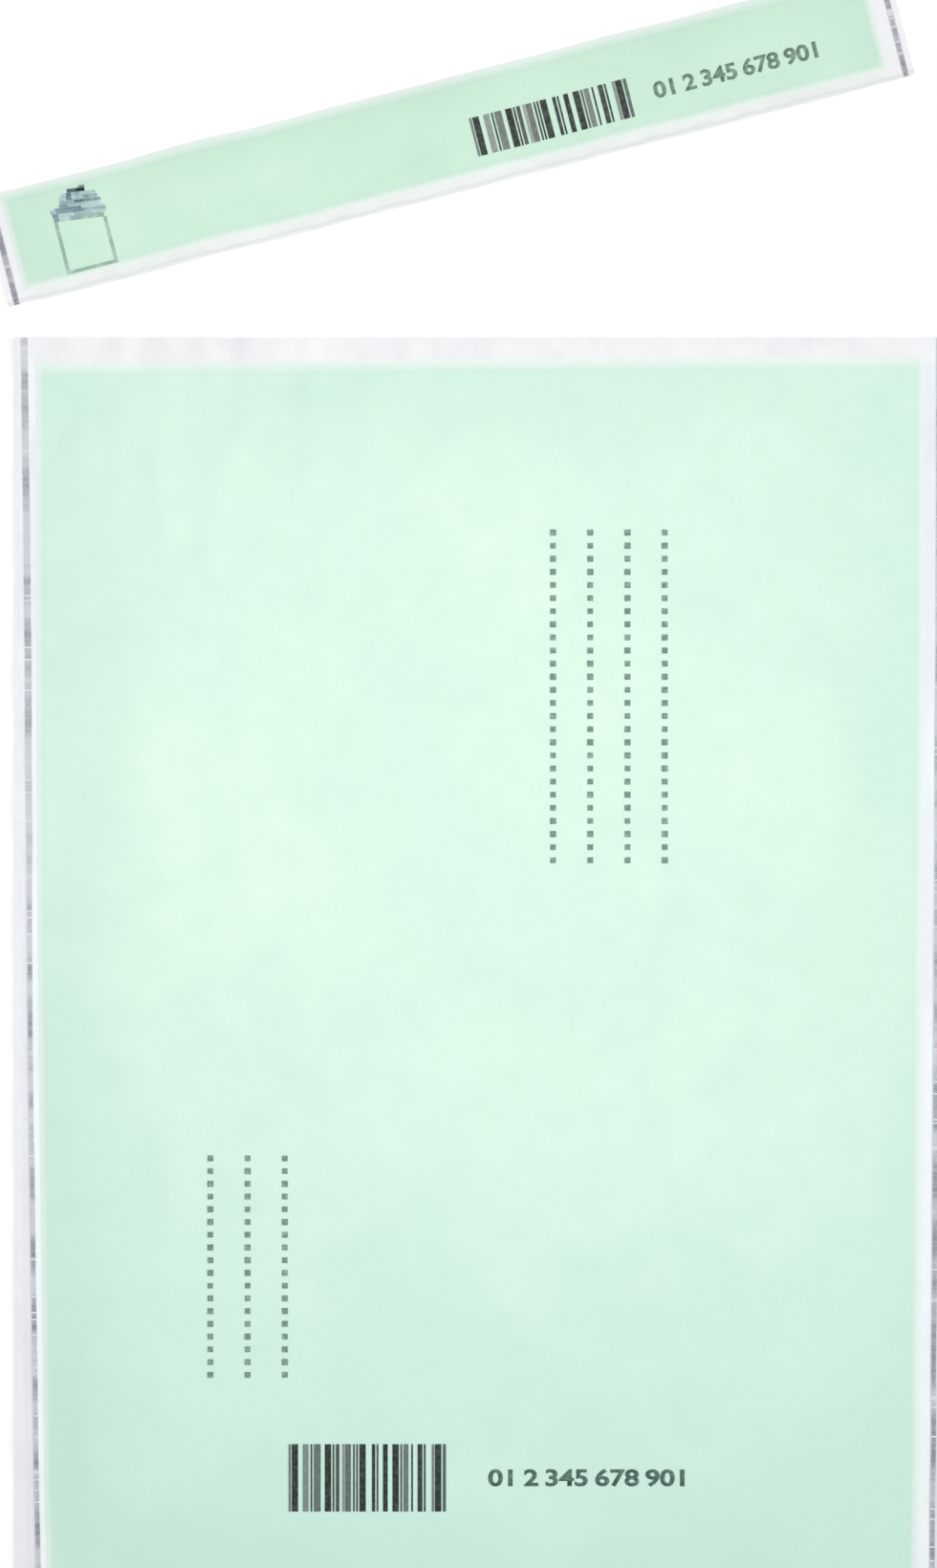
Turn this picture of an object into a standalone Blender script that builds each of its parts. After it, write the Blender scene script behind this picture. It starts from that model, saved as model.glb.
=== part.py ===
"""Film security envelope, lying flat with its printed front up, and its tear-off receipt strip.

Metres, +Z up. The origin is the middle of the pouch's flat underside, +Y points at the pouch's
top edge and the receipt strip, and +X points to the right of the printed front.
"""

import math

import bmesh
import bpy
from mathutils import Vector

# Pouch: two films welded along both sides, the bottom and the top band
POUCH_WIDTH = 0.250
POUCH_HEIGHT = 0.353
WELD_THICKNESS = 0.0004
PILLOW_RISE = 0.0014
PILLOW_RAMP = 0.016
PILLOW_STEPS = 5
POUCH_CORNER_RADIUS = 0.0012
CORNER_SEGMENTS = 7
SIDE_STEPS = 12

# Printed colour field; its sides bow and draw in towards the bottom, as the welds do.
# Each inset is measured from the pouch's side edge
FIELD_LEFT_INSET_TOP = 0.0063
FIELD_LEFT_INSET_MIDDLE = 0.0068
FIELD_LEFT_INSET_BOTTOM = 0.0094
FIELD_RIGHT_INSET_TOP = 0.0074
FIELD_RIGHT_INSET_MIDDLE = 0.0080
FIELD_RIGHT_INSET_BOTTOM = 0.0095
FIELD_CORNER_RADIUS = 0.0010
TOP_BAND_LEFT = 0.0072
TOP_BAND_RIGHT = 0.0057
BOTTOM_BAND = 0.0060

# Weld lines, measured from the pouch's side edges to the middle of the line
SEAM_WIDTH = 0.0014
LEFT_SEAM_INSET_TOP = 0.0029
LEFT_SEAM_INSET_MIDDLE = 0.0040
LEFT_SEAM_INSET_BOTTOM = 0.0067
RIGHT_SEAM_INSET_TOP = 0.0029
RIGHT_SEAM_INSET_MIDDLE = 0.0037
RIGHT_SEAM_INSET_BOTTOM = 0.0051
SEAM_END_MARGIN = 0.0004

# Ink layers lie on the film with a small gap
INK_THICKNESS = 0.0002
INK_GAP = 0.0003

# Dotted writing lines, which run down the pouch
DOT_SIZE = 0.0016
DOT_LINK_WIDTH = 0.0002
LINE_PITCH = 0.00994
ADDRESS_LINES = 4
ADDRESS_DOTS = 26
ADDRESS_DOT_PITCH = 0.0035
ADDRESS_FIRST_X = 0.0190
ADDRESS_FROM_TOP = 0.0521
SENDER_LINES = 3
SENDER_DOTS = 18
SENDER_DOT_PITCH = 0.0034
SENDER_FIRST_X = -0.0725
SENDER_FROM_BOTTOM = 0.0760

# Bar codes: plain stripes of mixed widths over a hair-thin base line
BARCODE_BARS = 25
BARCODE_BASE = 0.0002
POUCH_BARCODE_WIDTH = 0.0420
POUCH_BARCODE_HEIGHT = 0.0180
POUCH_BARCODE_LEFT_X = -0.0516
POUCH_BARCODE_FROM_BOTTOM = 0.0395

# Receipt strip, lying turned just ahead of the pouch's top edge
RECEIPT_LENGTH = 0.250
RECEIPT_WIDTH = 0.0303
RECEIPT_THICKNESS = 0.0007
RECEIPT_EDGE_THICKNESS = 0.0003
RECEIPT_EDGE_SLOPE = 0.0004
RECEIPT_TURN = math.radians(14.4)
RECEIPT_SHIFT_X = -0.0091
RECEIPT_CLEARANCE = 0.0081
RECEIPT_SEAM_INSET = 0.0023
RECEIPT_FIELD_LEFT_INSET = 0.0054
RECEIPT_FIELD_RIGHT_INSET = 0.0072
RECEIPT_FIELD_BOTTOM_INSET = 0.0037
RECEIPT_FIELD_TOP_INSET = 0.0005
RECEIPT_BARCODE_WIDTH = 0.0432
RECEIPT_BARCODE_HEIGHT = 0.0105
RECEIPT_BARCODE_LEFT = 0.1316
RECEIPT_BARCODE_BOTTOM = 0.0078

# Receipt pictogram: an open bag in outline with its flap, and a card going in
PICTOGRAM_WIDTH = 0.0134
PICTOGRAM_LINE = 0.0008
PICTOGRAM_FLAP_HEIGHT = 0.0050
PICTOGRAM_FLAP_OVERHANG = 0.0010
PICTOGRAM_CARD_WIDTH = 0.0052
PICTOGRAM_CARD_HEIGHT = 0.0028
PICTOGRAM_LEFT = 0.0180
PICTOGRAM_BOTTOM = 0.0053
PICTOGRAM_TOP_MARGIN = 0.0031

# Linear colours of the film and its inks
FILM_WHITE = (0.86, 0.86, 0.90, 1.0)
FIELD_GREEN = (0.72, 0.95, 0.80, 1.0)
RECEIPT_GREEN = (0.62, 0.87, 0.70, 1.0)
SEAM_GREY = (0.33, 0.35, 0.40, 1.0)
DOT_GREY = (0.24, 0.37, 0.31, 1.0)
BAR_BLACK = (0.03, 0.05, 0.04, 1.0)
PICTOGRAM_BLUE = (0.15, 0.25, 0.26, 1.0)

FIELD_TOP_Y = POUCH_HEIGHT / 2 - (TOP_BAND_LEFT + TOP_BAND_RIGHT) / 2
FIELD_BOTTOM_Y = -POUCH_HEIGHT / 2 + BOTTOM_BAND
FIELD_LEFT_X = -POUCH_WIDTH / 2 + FIELD_LEFT_INSET_MIDDLE
FIELD_RIGHT_X = POUCH_WIDTH / 2 - FIELD_RIGHT_INSET_MIDDLE
PLATEAU_Z = WELD_THICKNESS + PILLOW_RISE
INK_STEP = INK_GAP + INK_THICKNESS
PICTOGRAM_HEIGHT = RECEIPT_WIDTH - PICTOGRAM_BOTTOM - PICTOGRAM_TOP_MARGIN


def clear_scene():
    """Remove every object, so that the script can be run again in an open file."""
    for obj in list(bpy.data.objects):
        bpy.data.objects.remove(obj, do_unlink=True)


def material(name, colour, roughness):
    """Return a plain Principled material."""
    made = bpy.data.materials.new(name)
    made.use_nodes = True
    shader = made.node_tree.nodes["Principled BSDF"]
    shader.inputs["Base Color"].default_value = colour
    shader.inputs["Roughness"].default_value = roughness
    shader.inputs["Metallic"].default_value = 0.0
    made.diffuse_color = colour
    return made


def add_object(name, bm, finish, parent=None):
    """Turn a bmesh into a named object with its outside facing out."""
    bmesh.ops.recalc_face_normals(bm, faces=bm.faces)
    mesh = bpy.data.meshes.new(name)
    bm.to_mesh(mesh)
    bm.free()
    mesh.materials.append(finish)
    obj = bpy.data.objects.new(name, mesh)
    bpy.context.scene.collection.objects.link(obj)
    obj.parent = parent
    return obj


def stacked_solid(name, rings, finish, parent=None):
    """Make one closed body from rings of equally many points, capped at the first and last."""
    bm = bmesh.new()
    loops = [[bm.verts.new(point) for point in ring] for ring in rings]
    for low, high in zip(loops, loops[1:]):
        for i in range(len(low)):
            j = (i + 1) % len(low)
            bm.faces.new((low[i], low[j], high[j], high[i]))
    bm.faces.new(reversed(loops[0]))
    bm.faces.new(loops[-1])
    return add_object(name, bm, finish, parent)


def plate(name, outline, base_z, thickness, finish, parent=None):
    """Extrude a flat outline of (x, y) points upwards from base_z."""
    low = [Vector((x, y, base_z)) for x, y in outline]
    high = [Vector((x, y, base_z + thickness)) for x, y in outline]
    return stacked_solid(name, [low, high], finish, parent)


def rounded_quad(corners, radius, z):
    """Return a ring of points around four (x, y) corners, anticlockwise, with round corners."""
    arcs = []
    for i, corner in enumerate(corners):
        here = Vector(corner)
        before = (Vector(corners[i - 1]) - here).normalized()
        after = (Vector(corners[(i + 1) % 4]) - here).normalized()
        half_angle = before.angle(after) / 2
        centre = here + (before + after).normalized() * radius / math.sin(half_angle)
        start = here + before * radius / math.tan(half_angle) - centre
        end = here + after * radius / math.tan(half_angle) - centre
        turn = start.angle(end)
        arc = []
        for step in range(CORNER_SEGMENTS + 1):
            a = turn * step / CORNER_SEGMENTS
            arm = (start * math.sin(turn - a) + end * math.sin(a)) / math.sin(turn)
            arc.append(Vector((*(centre + arm), z)))
        arcs.append(arc)
    ring = []
    for i, arc in enumerate(arcs):
        following = arcs[(i + 1) % 4][0]
        side = [arc[-1].lerp(following, step / SIDE_STEPS) for step in range(1, SIDE_STEPS)]
        ring += arc + side
    return ring


def bowed_inset(top, middle, bottom, y):
    """Return an inset at y, on a smooth curve through its values down the pouch's height."""
    share = (POUCH_HEIGHT / 2 - y) / POUCH_HEIGHT
    return (
        top * (1 - share) * (1 - 2 * share)
        + middle * 4 * share * (1 - share)
        + bottom * share * (2 * share - 1)
    )


def on_field(point):
    """Move a point of the straight field rectangle to its place on the bowed field."""
    right_share = (point.x - FIELD_LEFT_X) / (FIELD_RIGHT_X - FIELD_LEFT_X)
    up_share = (point.y - FIELD_BOTTOM_Y) / (FIELD_TOP_Y - FIELD_BOTTOM_Y)
    y = point.y + (TOP_BAND_LEFT - TOP_BAND_RIGHT) * (right_share - 0.5) * up_share
    left_shift = bowed_inset(
        FIELD_LEFT_INSET_TOP, FIELD_LEFT_INSET_MIDDLE, FIELD_LEFT_INSET_BOTTOM, y
    ) - FIELD_LEFT_INSET_MIDDLE
    right_shift = FIELD_RIGHT_INSET_MIDDLE - bowed_inset(
        FIELD_RIGHT_INSET_TOP, FIELD_RIGHT_INSET_MIDDLE, FIELD_RIGHT_INSET_BOTTOM, y
    )
    x = point.x + left_shift * (1 - right_share) + right_shift * right_share
    return Vector((x, y, point.z))


def pillow_rings(lift):
    """Return the rings of the pouch's raised middle, from its foot up to its flat top."""
    rings = []
    for step in range(PILLOW_STEPS + 1):
        share = step / PILLOW_STEPS
        inset = PILLOW_RAMP * share
        corners = rectangle(
            FIELD_LEFT_X + inset,
            FIELD_BOTTOM_Y + inset,
            FIELD_RIGHT_X - FIELD_LEFT_X - 2 * inset,
            FIELD_TOP_Y - FIELD_BOTTOM_Y - 2 * inset,
        )
        z = WELD_THICKNESS + PILLOW_RISE * math.sin(share * math.pi / 2) + lift
        ring = rounded_quad(corners, FIELD_CORNER_RADIUS + inset / 2, z)
        rings.append([on_field(point) for point in ring])
    return rings


def rectangle(left, bottom, width, height):
    """Return the corners of a rectangle, anticlockwise from its lower left."""
    right, top = left + width, bottom + height
    return [(left, bottom), (right, bottom), (right, top), (left, top)]


def build_pouch(film, ink):
    """Make the welded pouch and the colour field that covers its raised middle."""
    edge = rectangle(-POUCH_WIDTH / 2, -POUCH_HEIGHT / 2, POUCH_WIDTH, POUCH_HEIGHT)
    outline = [rounded_quad(edge, POUCH_CORNER_RADIUS, z) for z in (0.0, WELD_THICKNESS)]
    stacked_solid("pouch", outline + pillow_rings(0.0), film)
    under = pillow_rings(INK_GAP)
    over = pillow_rings(INK_STEP)
    stacked_solid("pouch_colour_field", under[::-1] + over, ink)


def build_pouch_seams(finish):
    """Make the dark line along each side weld, which bows as the colour field does."""
    end = POUCH_HEIGHT / 2 - SEAM_END_MARGIN
    rows = [end * (2 * step / SIDE_STEPS - 1) for step in range(SIDE_STEPS + 1)]
    left = (LEFT_SEAM_INSET_TOP, LEFT_SEAM_INSET_MIDDLE, LEFT_SEAM_INSET_BOTTOM)
    right = (RIGHT_SEAM_INSET_TOP, RIGHT_SEAM_INSET_MIDDLE, RIGHT_SEAM_INSET_BOTTOM)
    for name, side, insets in (("pouch_left_seam", -1, left), ("pouch_right_seam", 1, right)):
        line = [(side * (POUCH_WIDTH / 2 - bowed_inset(*insets, y)), y) for y in rows]
        half = SEAM_WIDTH / 2
        outline = [(x + half, y) for x, y in line] + [(x - half, y) for x, y in reversed(line)]
        plate(name, outline, WELD_THICKNESS + INK_GAP, INK_THICKNESS, finish)


def dotted_line_outline(x, first_y, dots, pitch):
    """Return the outline of a line of square dots down from first_y, joined by a fine link."""
    half, link = DOT_SIZE / 2, DOT_LINK_WIDTH / 2
    right = []
    for i in range(dots):
        middle = first_y - i * pitch
        if i > 0:
            right.append((link, middle + half))
        right.append((half, middle + half))
        right.append((half, middle - half))
        if i < dots - 1:
            right.append((link, middle - half))
    left = [(-reach, y) for reach, y in reversed(right)]
    return [(x + reach, y) for reach, y in left + right]


def build_writing_lines(finish):
    """Make the dotted address lines and the dotted sender lines on the colour field."""
    base = PLATEAU_Z + INK_STEP + INK_GAP
    first_y = POUCH_HEIGHT / 2 - ADDRESS_FROM_TOP
    for i in range(ADDRESS_LINES):
        x = ADDRESS_FIRST_X + i * LINE_PITCH
        outline = dotted_line_outline(x, first_y, ADDRESS_DOTS, ADDRESS_DOT_PITCH)
        plate(f"address_line_{i + 1}", outline, base, INK_THICKNESS, finish)
    first_y = -POUCH_HEIGHT / 2 + SENDER_FROM_BOTTOM + (SENDER_DOTS - 1) * SENDER_DOT_PITCH
    for i in range(SENDER_LINES):
        x = SENDER_FIRST_X + i * LINE_PITCH
        outline = dotted_line_outline(x, first_y, SENDER_DOTS, SENDER_DOT_PITCH)
        plate(f"sender_line_{i + 1}", outline, base, INK_THICKNESS, finish)


def stripe_widths():
    """Return widths of bars and the spaces after them, by a rule that spells nothing."""
    return [
        (1 + (i * i * i + 2 * i) % 11 % 4, 1 + (i * i + i + 4) % 17 % 4)
        for i in range(BARCODE_BARS)
    ]


def barcode_outline(left, bottom, width, height):
    """Return a comb outline: bars standing on a fine base line."""
    stripes = stripe_widths()
    unit = width / (sum(bar + space for bar, space in stripes) - stripes[-1][1])
    points = [(left, bottom), (left + width, bottom)]
    x = left + width
    for i in reversed(range(BARCODE_BARS)):
        bar = stripes[i][0] * unit
        points += [(x, bottom + height), (x - bar, bottom + height)]
        x -= bar
        if i > 0:
            space = stripes[i - 1][1] * unit
            points += [(x, bottom + BARCODE_BASE), (x - space, bottom + BARCODE_BASE)]
            x -= space
    return points


def build_pouch_barcode(finish):
    """Make the bar code at the foot of the colour field."""
    bottom = -POUCH_HEIGHT / 2 + POUCH_BARCODE_FROM_BOTTOM
    outline = barcode_outline(
        POUCH_BARCODE_LEFT_X, bottom, POUCH_BARCODE_WIDTH, POUCH_BARCODE_HEIGHT
    )
    plate("pouch_barcode", outline, PLATEAU_Z + INK_STEP + INK_GAP, INK_THICKNESS, finish)


def receipt_frame():
    """Make the empty that the receipt strip's pieces hang from: its middle, turned."""
    empty = bpy.data.objects.new("receipt_frame", None)
    bpy.context.scene.collection.objects.link(empty)
    reach = (
        RECEIPT_LENGTH / 2 * math.sin(RECEIPT_TURN)
        + RECEIPT_WIDTH / 2 * math.cos(RECEIPT_TURN)
    )
    empty.location = (RECEIPT_SHIFT_X, POUCH_HEIGHT / 2 + RECEIPT_CLEARANCE + reach, 0.0)
    empty.rotation_euler = (0.0, 0.0, RECEIPT_TURN)
    return empty


def pictogram_faces(left, bottom):
    """Return the pictogram's flat quads: a bag in outline, its open flap and a card."""
    line, width = PICTOGRAM_LINE, PICTOGRAM_WIDTH
    card_top = bottom + PICTOGRAM_HEIGHT
    flap_top = card_top - PICTOGRAM_CARD_HEIGHT
    right, top = left + width, flap_top - PICTOGRAM_FLAP_HEIGHT
    inner_left, inner_right = left + line, right - line
    inner_bottom, mouth = bottom + line, top - line
    flap_left, flap_right = left - PICTOGRAM_FLAP_OVERHANG, right + PICTOGRAM_FLAP_OVERHANG
    card_left = left + (width - PICTOGRAM_CARD_WIDTH) / 2
    card_right = card_left + PICTOGRAM_CARD_WIDTH
    return [
        [(left, bottom), (inner_left, inner_bottom), (inner_left, mouth), (left, top)],
        [(right, bottom), (right, top), (inner_right, mouth), (inner_right, inner_bottom)],
        [(left, bottom), (right, bottom), (inner_right, inner_bottom), (inner_left, inner_bottom)],
        [(left, top), (inner_left, mouth), (inner_right, mouth), (right, top)],
        [
            (left, top), (right, top), (flap_right, flap_top),
            (card_right, flap_top), (card_left, flap_top), (flap_left, flap_top),
        ],
        [(card_left, flap_top), (card_right, flap_top), (card_right, card_top), (card_left, card_top)],
    ]


def build_pictogram(left, bottom, base_z, finish, parent):
    """Make the pictogram by raising its flat faces, which share their corners."""
    bm = bmesh.new()
    corners = {}
    for outline in pictogram_faces(left, bottom):
        for point in outline:
            if point not in corners:
                corners[point] = bm.verts.new((*point, base_z))
        bm.faces.new([corners[point] for point in outline])
    raised = bmesh.ops.extrude_face_region(bm, geom=list(bm.faces), use_keep_orig=True)
    tops = [item for item in raised["geom"] if isinstance(item, bmesh.types.BMVert)]
    bmesh.ops.translate(bm, verts=tops, vec=(0.0, 0.0, INK_THICKNESS))
    add_object("receipt_pictogram", bm, finish, parent)


def build_receipt(film, green, dark, black, blue):
    """Make the tear-off receipt strip and its print, in the strip's own directions."""
    parent = receipt_frame()
    left, bottom = -RECEIPT_LENGTH / 2, -RECEIPT_WIDTH / 2
    rings = []
    for z, inset in (
        (0.0, 0.0), (RECEIPT_EDGE_THICKNESS, 0.0), (RECEIPT_THICKNESS, RECEIPT_EDGE_SLOPE)
    ):
        edge = rectangle(
            left + inset, bottom + inset, RECEIPT_LENGTH - 2 * inset, RECEIPT_WIDTH - 2 * inset
        )
        rings.append([Vector((x, y, z)) for x, y in edge])
    stacked_solid("receipt_strip", rings, film, parent)

    field_base = RECEIPT_THICKNESS + INK_GAP
    field = rectangle(
        left + RECEIPT_FIELD_LEFT_INSET,
        bottom + RECEIPT_FIELD_BOTTOM_INSET,
        RECEIPT_LENGTH - RECEIPT_FIELD_LEFT_INSET - RECEIPT_FIELD_RIGHT_INSET,
        RECEIPT_WIDTH - RECEIPT_FIELD_BOTTOM_INSET - RECEIPT_FIELD_TOP_INSET,
    )
    plate("receipt_colour_field", field, field_base, INK_THICKNESS, green, parent)

    ink_base = field_base + INK_STEP
    code = barcode_outline(
        left + RECEIPT_BARCODE_LEFT,
        bottom + RECEIPT_BARCODE_BOTTOM,
        RECEIPT_BARCODE_WIDTH,
        RECEIPT_BARCODE_HEIGHT,
    )
    plate("receipt_barcode", code, ink_base, INK_THICKNESS, black, parent)
    build_pictogram(left + PICTOGRAM_LEFT, bottom + PICTOGRAM_BOTTOM, ink_base, blue, parent)

    for name, side in (("receipt_left_seam", -1), ("receipt_right_seam", 1)):
        middle = side * (RECEIPT_LENGTH / 2 - RECEIPT_SEAM_INSET)
        line = rectangle(
            middle - SEAM_WIDTH / 2,
            bottom + SEAM_END_MARGIN,
            SEAM_WIDTH,
            RECEIPT_WIDTH - 2 * SEAM_END_MARGIN,
        )
        plate(name, line, field_base, INK_THICKNESS, dark, parent)


def main():
    """Build the pouch, its print, and the receipt strip."""
    clear_scene()
    film = material("film_white", FILM_WHITE, 0.35)
    green = material("field_green", FIELD_GREEN, 0.40)
    receipt_green = material("receipt_green", RECEIPT_GREEN, 0.40)
    seam = material("seam_grey", SEAM_GREY, 0.45)
    dots = material("dot_grey", DOT_GREY, 0.50)
    bars = material("bar_black", BAR_BLACK, 0.45)
    blue = material("pictogram_blue", PICTOGRAM_BLUE, 0.50)
    build_pouch(film, green)
    build_pouch_seams(seam)
    build_writing_lines(dots)
    build_pouch_barcode(bars)
    build_receipt(film, receipt_green, seam, bars, blue)


main()
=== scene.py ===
"""Looks of a film security envelope: the printed pouch and its torn-off receipt strip.

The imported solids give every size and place. The film, its print, its weld lines, the floor, the
lights and the camera are made here. Metres, +Z up, the printed front facing up.
"""

import logging
import math
from dataclasses import dataclass, field
from enum import Enum

import bmesh
import bpy
import numpy as np
from mathutils import Matrix, Vector


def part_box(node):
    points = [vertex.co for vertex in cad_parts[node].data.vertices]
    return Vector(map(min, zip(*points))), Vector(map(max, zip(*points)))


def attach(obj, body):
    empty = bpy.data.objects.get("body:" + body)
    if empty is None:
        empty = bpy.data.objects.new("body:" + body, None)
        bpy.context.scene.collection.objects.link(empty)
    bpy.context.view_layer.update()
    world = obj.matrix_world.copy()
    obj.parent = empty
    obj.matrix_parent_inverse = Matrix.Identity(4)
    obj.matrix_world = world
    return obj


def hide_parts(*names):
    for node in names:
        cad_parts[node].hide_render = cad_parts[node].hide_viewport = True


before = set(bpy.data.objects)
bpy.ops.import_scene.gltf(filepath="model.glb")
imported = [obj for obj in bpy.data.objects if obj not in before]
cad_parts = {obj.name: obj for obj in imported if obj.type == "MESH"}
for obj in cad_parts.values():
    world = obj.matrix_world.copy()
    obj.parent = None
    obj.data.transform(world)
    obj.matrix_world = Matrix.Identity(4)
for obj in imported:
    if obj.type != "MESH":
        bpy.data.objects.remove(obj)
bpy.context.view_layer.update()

LOG = logging.getLogger("security_envelope")
MM = 0.001
BODY = "root"
SEAM_ATTRIBUTE = "seam_mm"
RIM_ATTRIBUTE = "rim_mm"
HEM_ATTRIBUTE = "hem_mm"
TONE_ATTRIBUTE = "tone"
INWARD_ATTRIBUTE = "inward"
FILM_IOR = 1.48
FILM_ROUGHNESS = (0.34, 0.46)
INK_IOR = 1.5
INK_ROUGHNESS = (0.38, 0.52)
INK_GRAIN = (1400.0, 0.01 * MM)
NOISE_RANGE = (0.3, 0.7)
SHARP_ANGLE = math.radians(50.0)
MERGE_DISTANCE = 1e-6
TOLERANCE = 0.01 * MM

Array = np.ndarray
Colour = tuple[float, float, float, float]


def screen(red: int, green: int, blue: int) -> Colour:
    """Return the linear colour of a screen colour with parts from 0 to 255.

    Args:
        red: The red part.
        green: The green part.
        blue: The blue part.

    Returns:
        The colour as four linear numbers, the last one alpha.
    """
    parts = np.array((red, green, blue)) / 255.0
    linear = np.where(parts <= 0.04045, parts / 12.92, ((parts + 0.055) / 1.055) ** 2.4)
    return (*(float(part) for part in linear), 1.0)


def smooth_step(value: Array) -> Array:
    """Return value eased from 0 to 1, flat outside that range."""
    clipped = np.clip(value, 0.0, 1.0)
    return clipped * clipped * (3.0 - 2.0 * clipped)


def fit_curve(y: Array, x: Array) -> Array:
    """Fit x over y, straight where the points have only two heights and else bowed.

    Args:
        y: The points' heights.
        x: The points' x.

    Returns:
        The curve's polynomial.
    """
    degree = min(2, len(np.unique(np.round(y, 5))) - 1)
    return np.polyfit(y, x, degree)


def inward_share(across: Array, down: Array, reach: float, side_fall: float = 0.60,
                 end_fall: float = 0.45) -> Array:
    """Return how far inside a printed field each point lies, 0 at its corners and 1 in the middle;
    the print's painted shade grows deeper as it falls.

    Args:
        across: The points' distance in from the field's nearer side.
        down: Their distance in from its nearer end.
        reach: The distance at which the middle begins.
        side_fall: How far below 1 the share falls at a side.
        end_fall: How far below 1 it falls at an end.

    Returns:
        The share.
    """
    side = 1.0 - smooth_step(across / reach)
    end = 1.0 - smooth_step(down / reach)
    return np.clip(1.0 - side_fall * side - end_fall * end, 0.0, 1.0)


class Layer(Enum):
    """How high each printed layer's underside and top lie over the film, in metres."""

    FIELD = (0.02 * MM, 0.10 * MM)
    WELD = (0.02 * MM, 0.09 * MM)
    INK = (0.03 * MM, 0.11 * MM)

    @property
    def lift(self) -> float:
        """Return the height of the layer's underside over the film."""
        return self.value[0]

    @property
    def thickness(self) -> float:
        """Return the layer's own thickness."""
        return self.value[1] - self.value[0]


class NodeBuilder:
    """Adds nodes and links to a shader or geometry node tree."""

    def __init__(self, tree: bpy.types.NodeTree) -> None:
        """Keep the tree that the nodes go into."""
        self.tree = tree

    def add(self, kind: str, sockets: dict | None = None, **settings) -> bpy.types.Node:
        """Add a node.

        Args:
            kind: The node's type name.
            sockets: Input name or index to a value, or to an output socket to link from.
            settings: Properties of the node itself.

        Returns:
            The new node.
        """
        node = self.tree.nodes.new(kind)
        for name, value in settings.items():
            setattr(node, name, value)
        for key, value in (sockets or {}).items():
            if isinstance(value, bpy.types.NodeSocket):
                self.tree.links.new(value, node.inputs[key])
            else:
                node.inputs[key].default_value = value
        return node

    def math(self, operation: str, first, second=0.0, third=0.0) -> bpy.types.NodeSocket:
        """Add a scalar math node.

        Args:
            operation: The operation's name.
            first: A number or an output socket.
            second: A number or an output socket.
            third: A number or an output socket, for operations that read it.

        Returns:
            The node's output.
        """
        kind = "ShaderNodeMath"
        sockets = {0: first, 1: second, 2: third}
        return self.add(kind, sockets, operation=operation).outputs[0]


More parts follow.
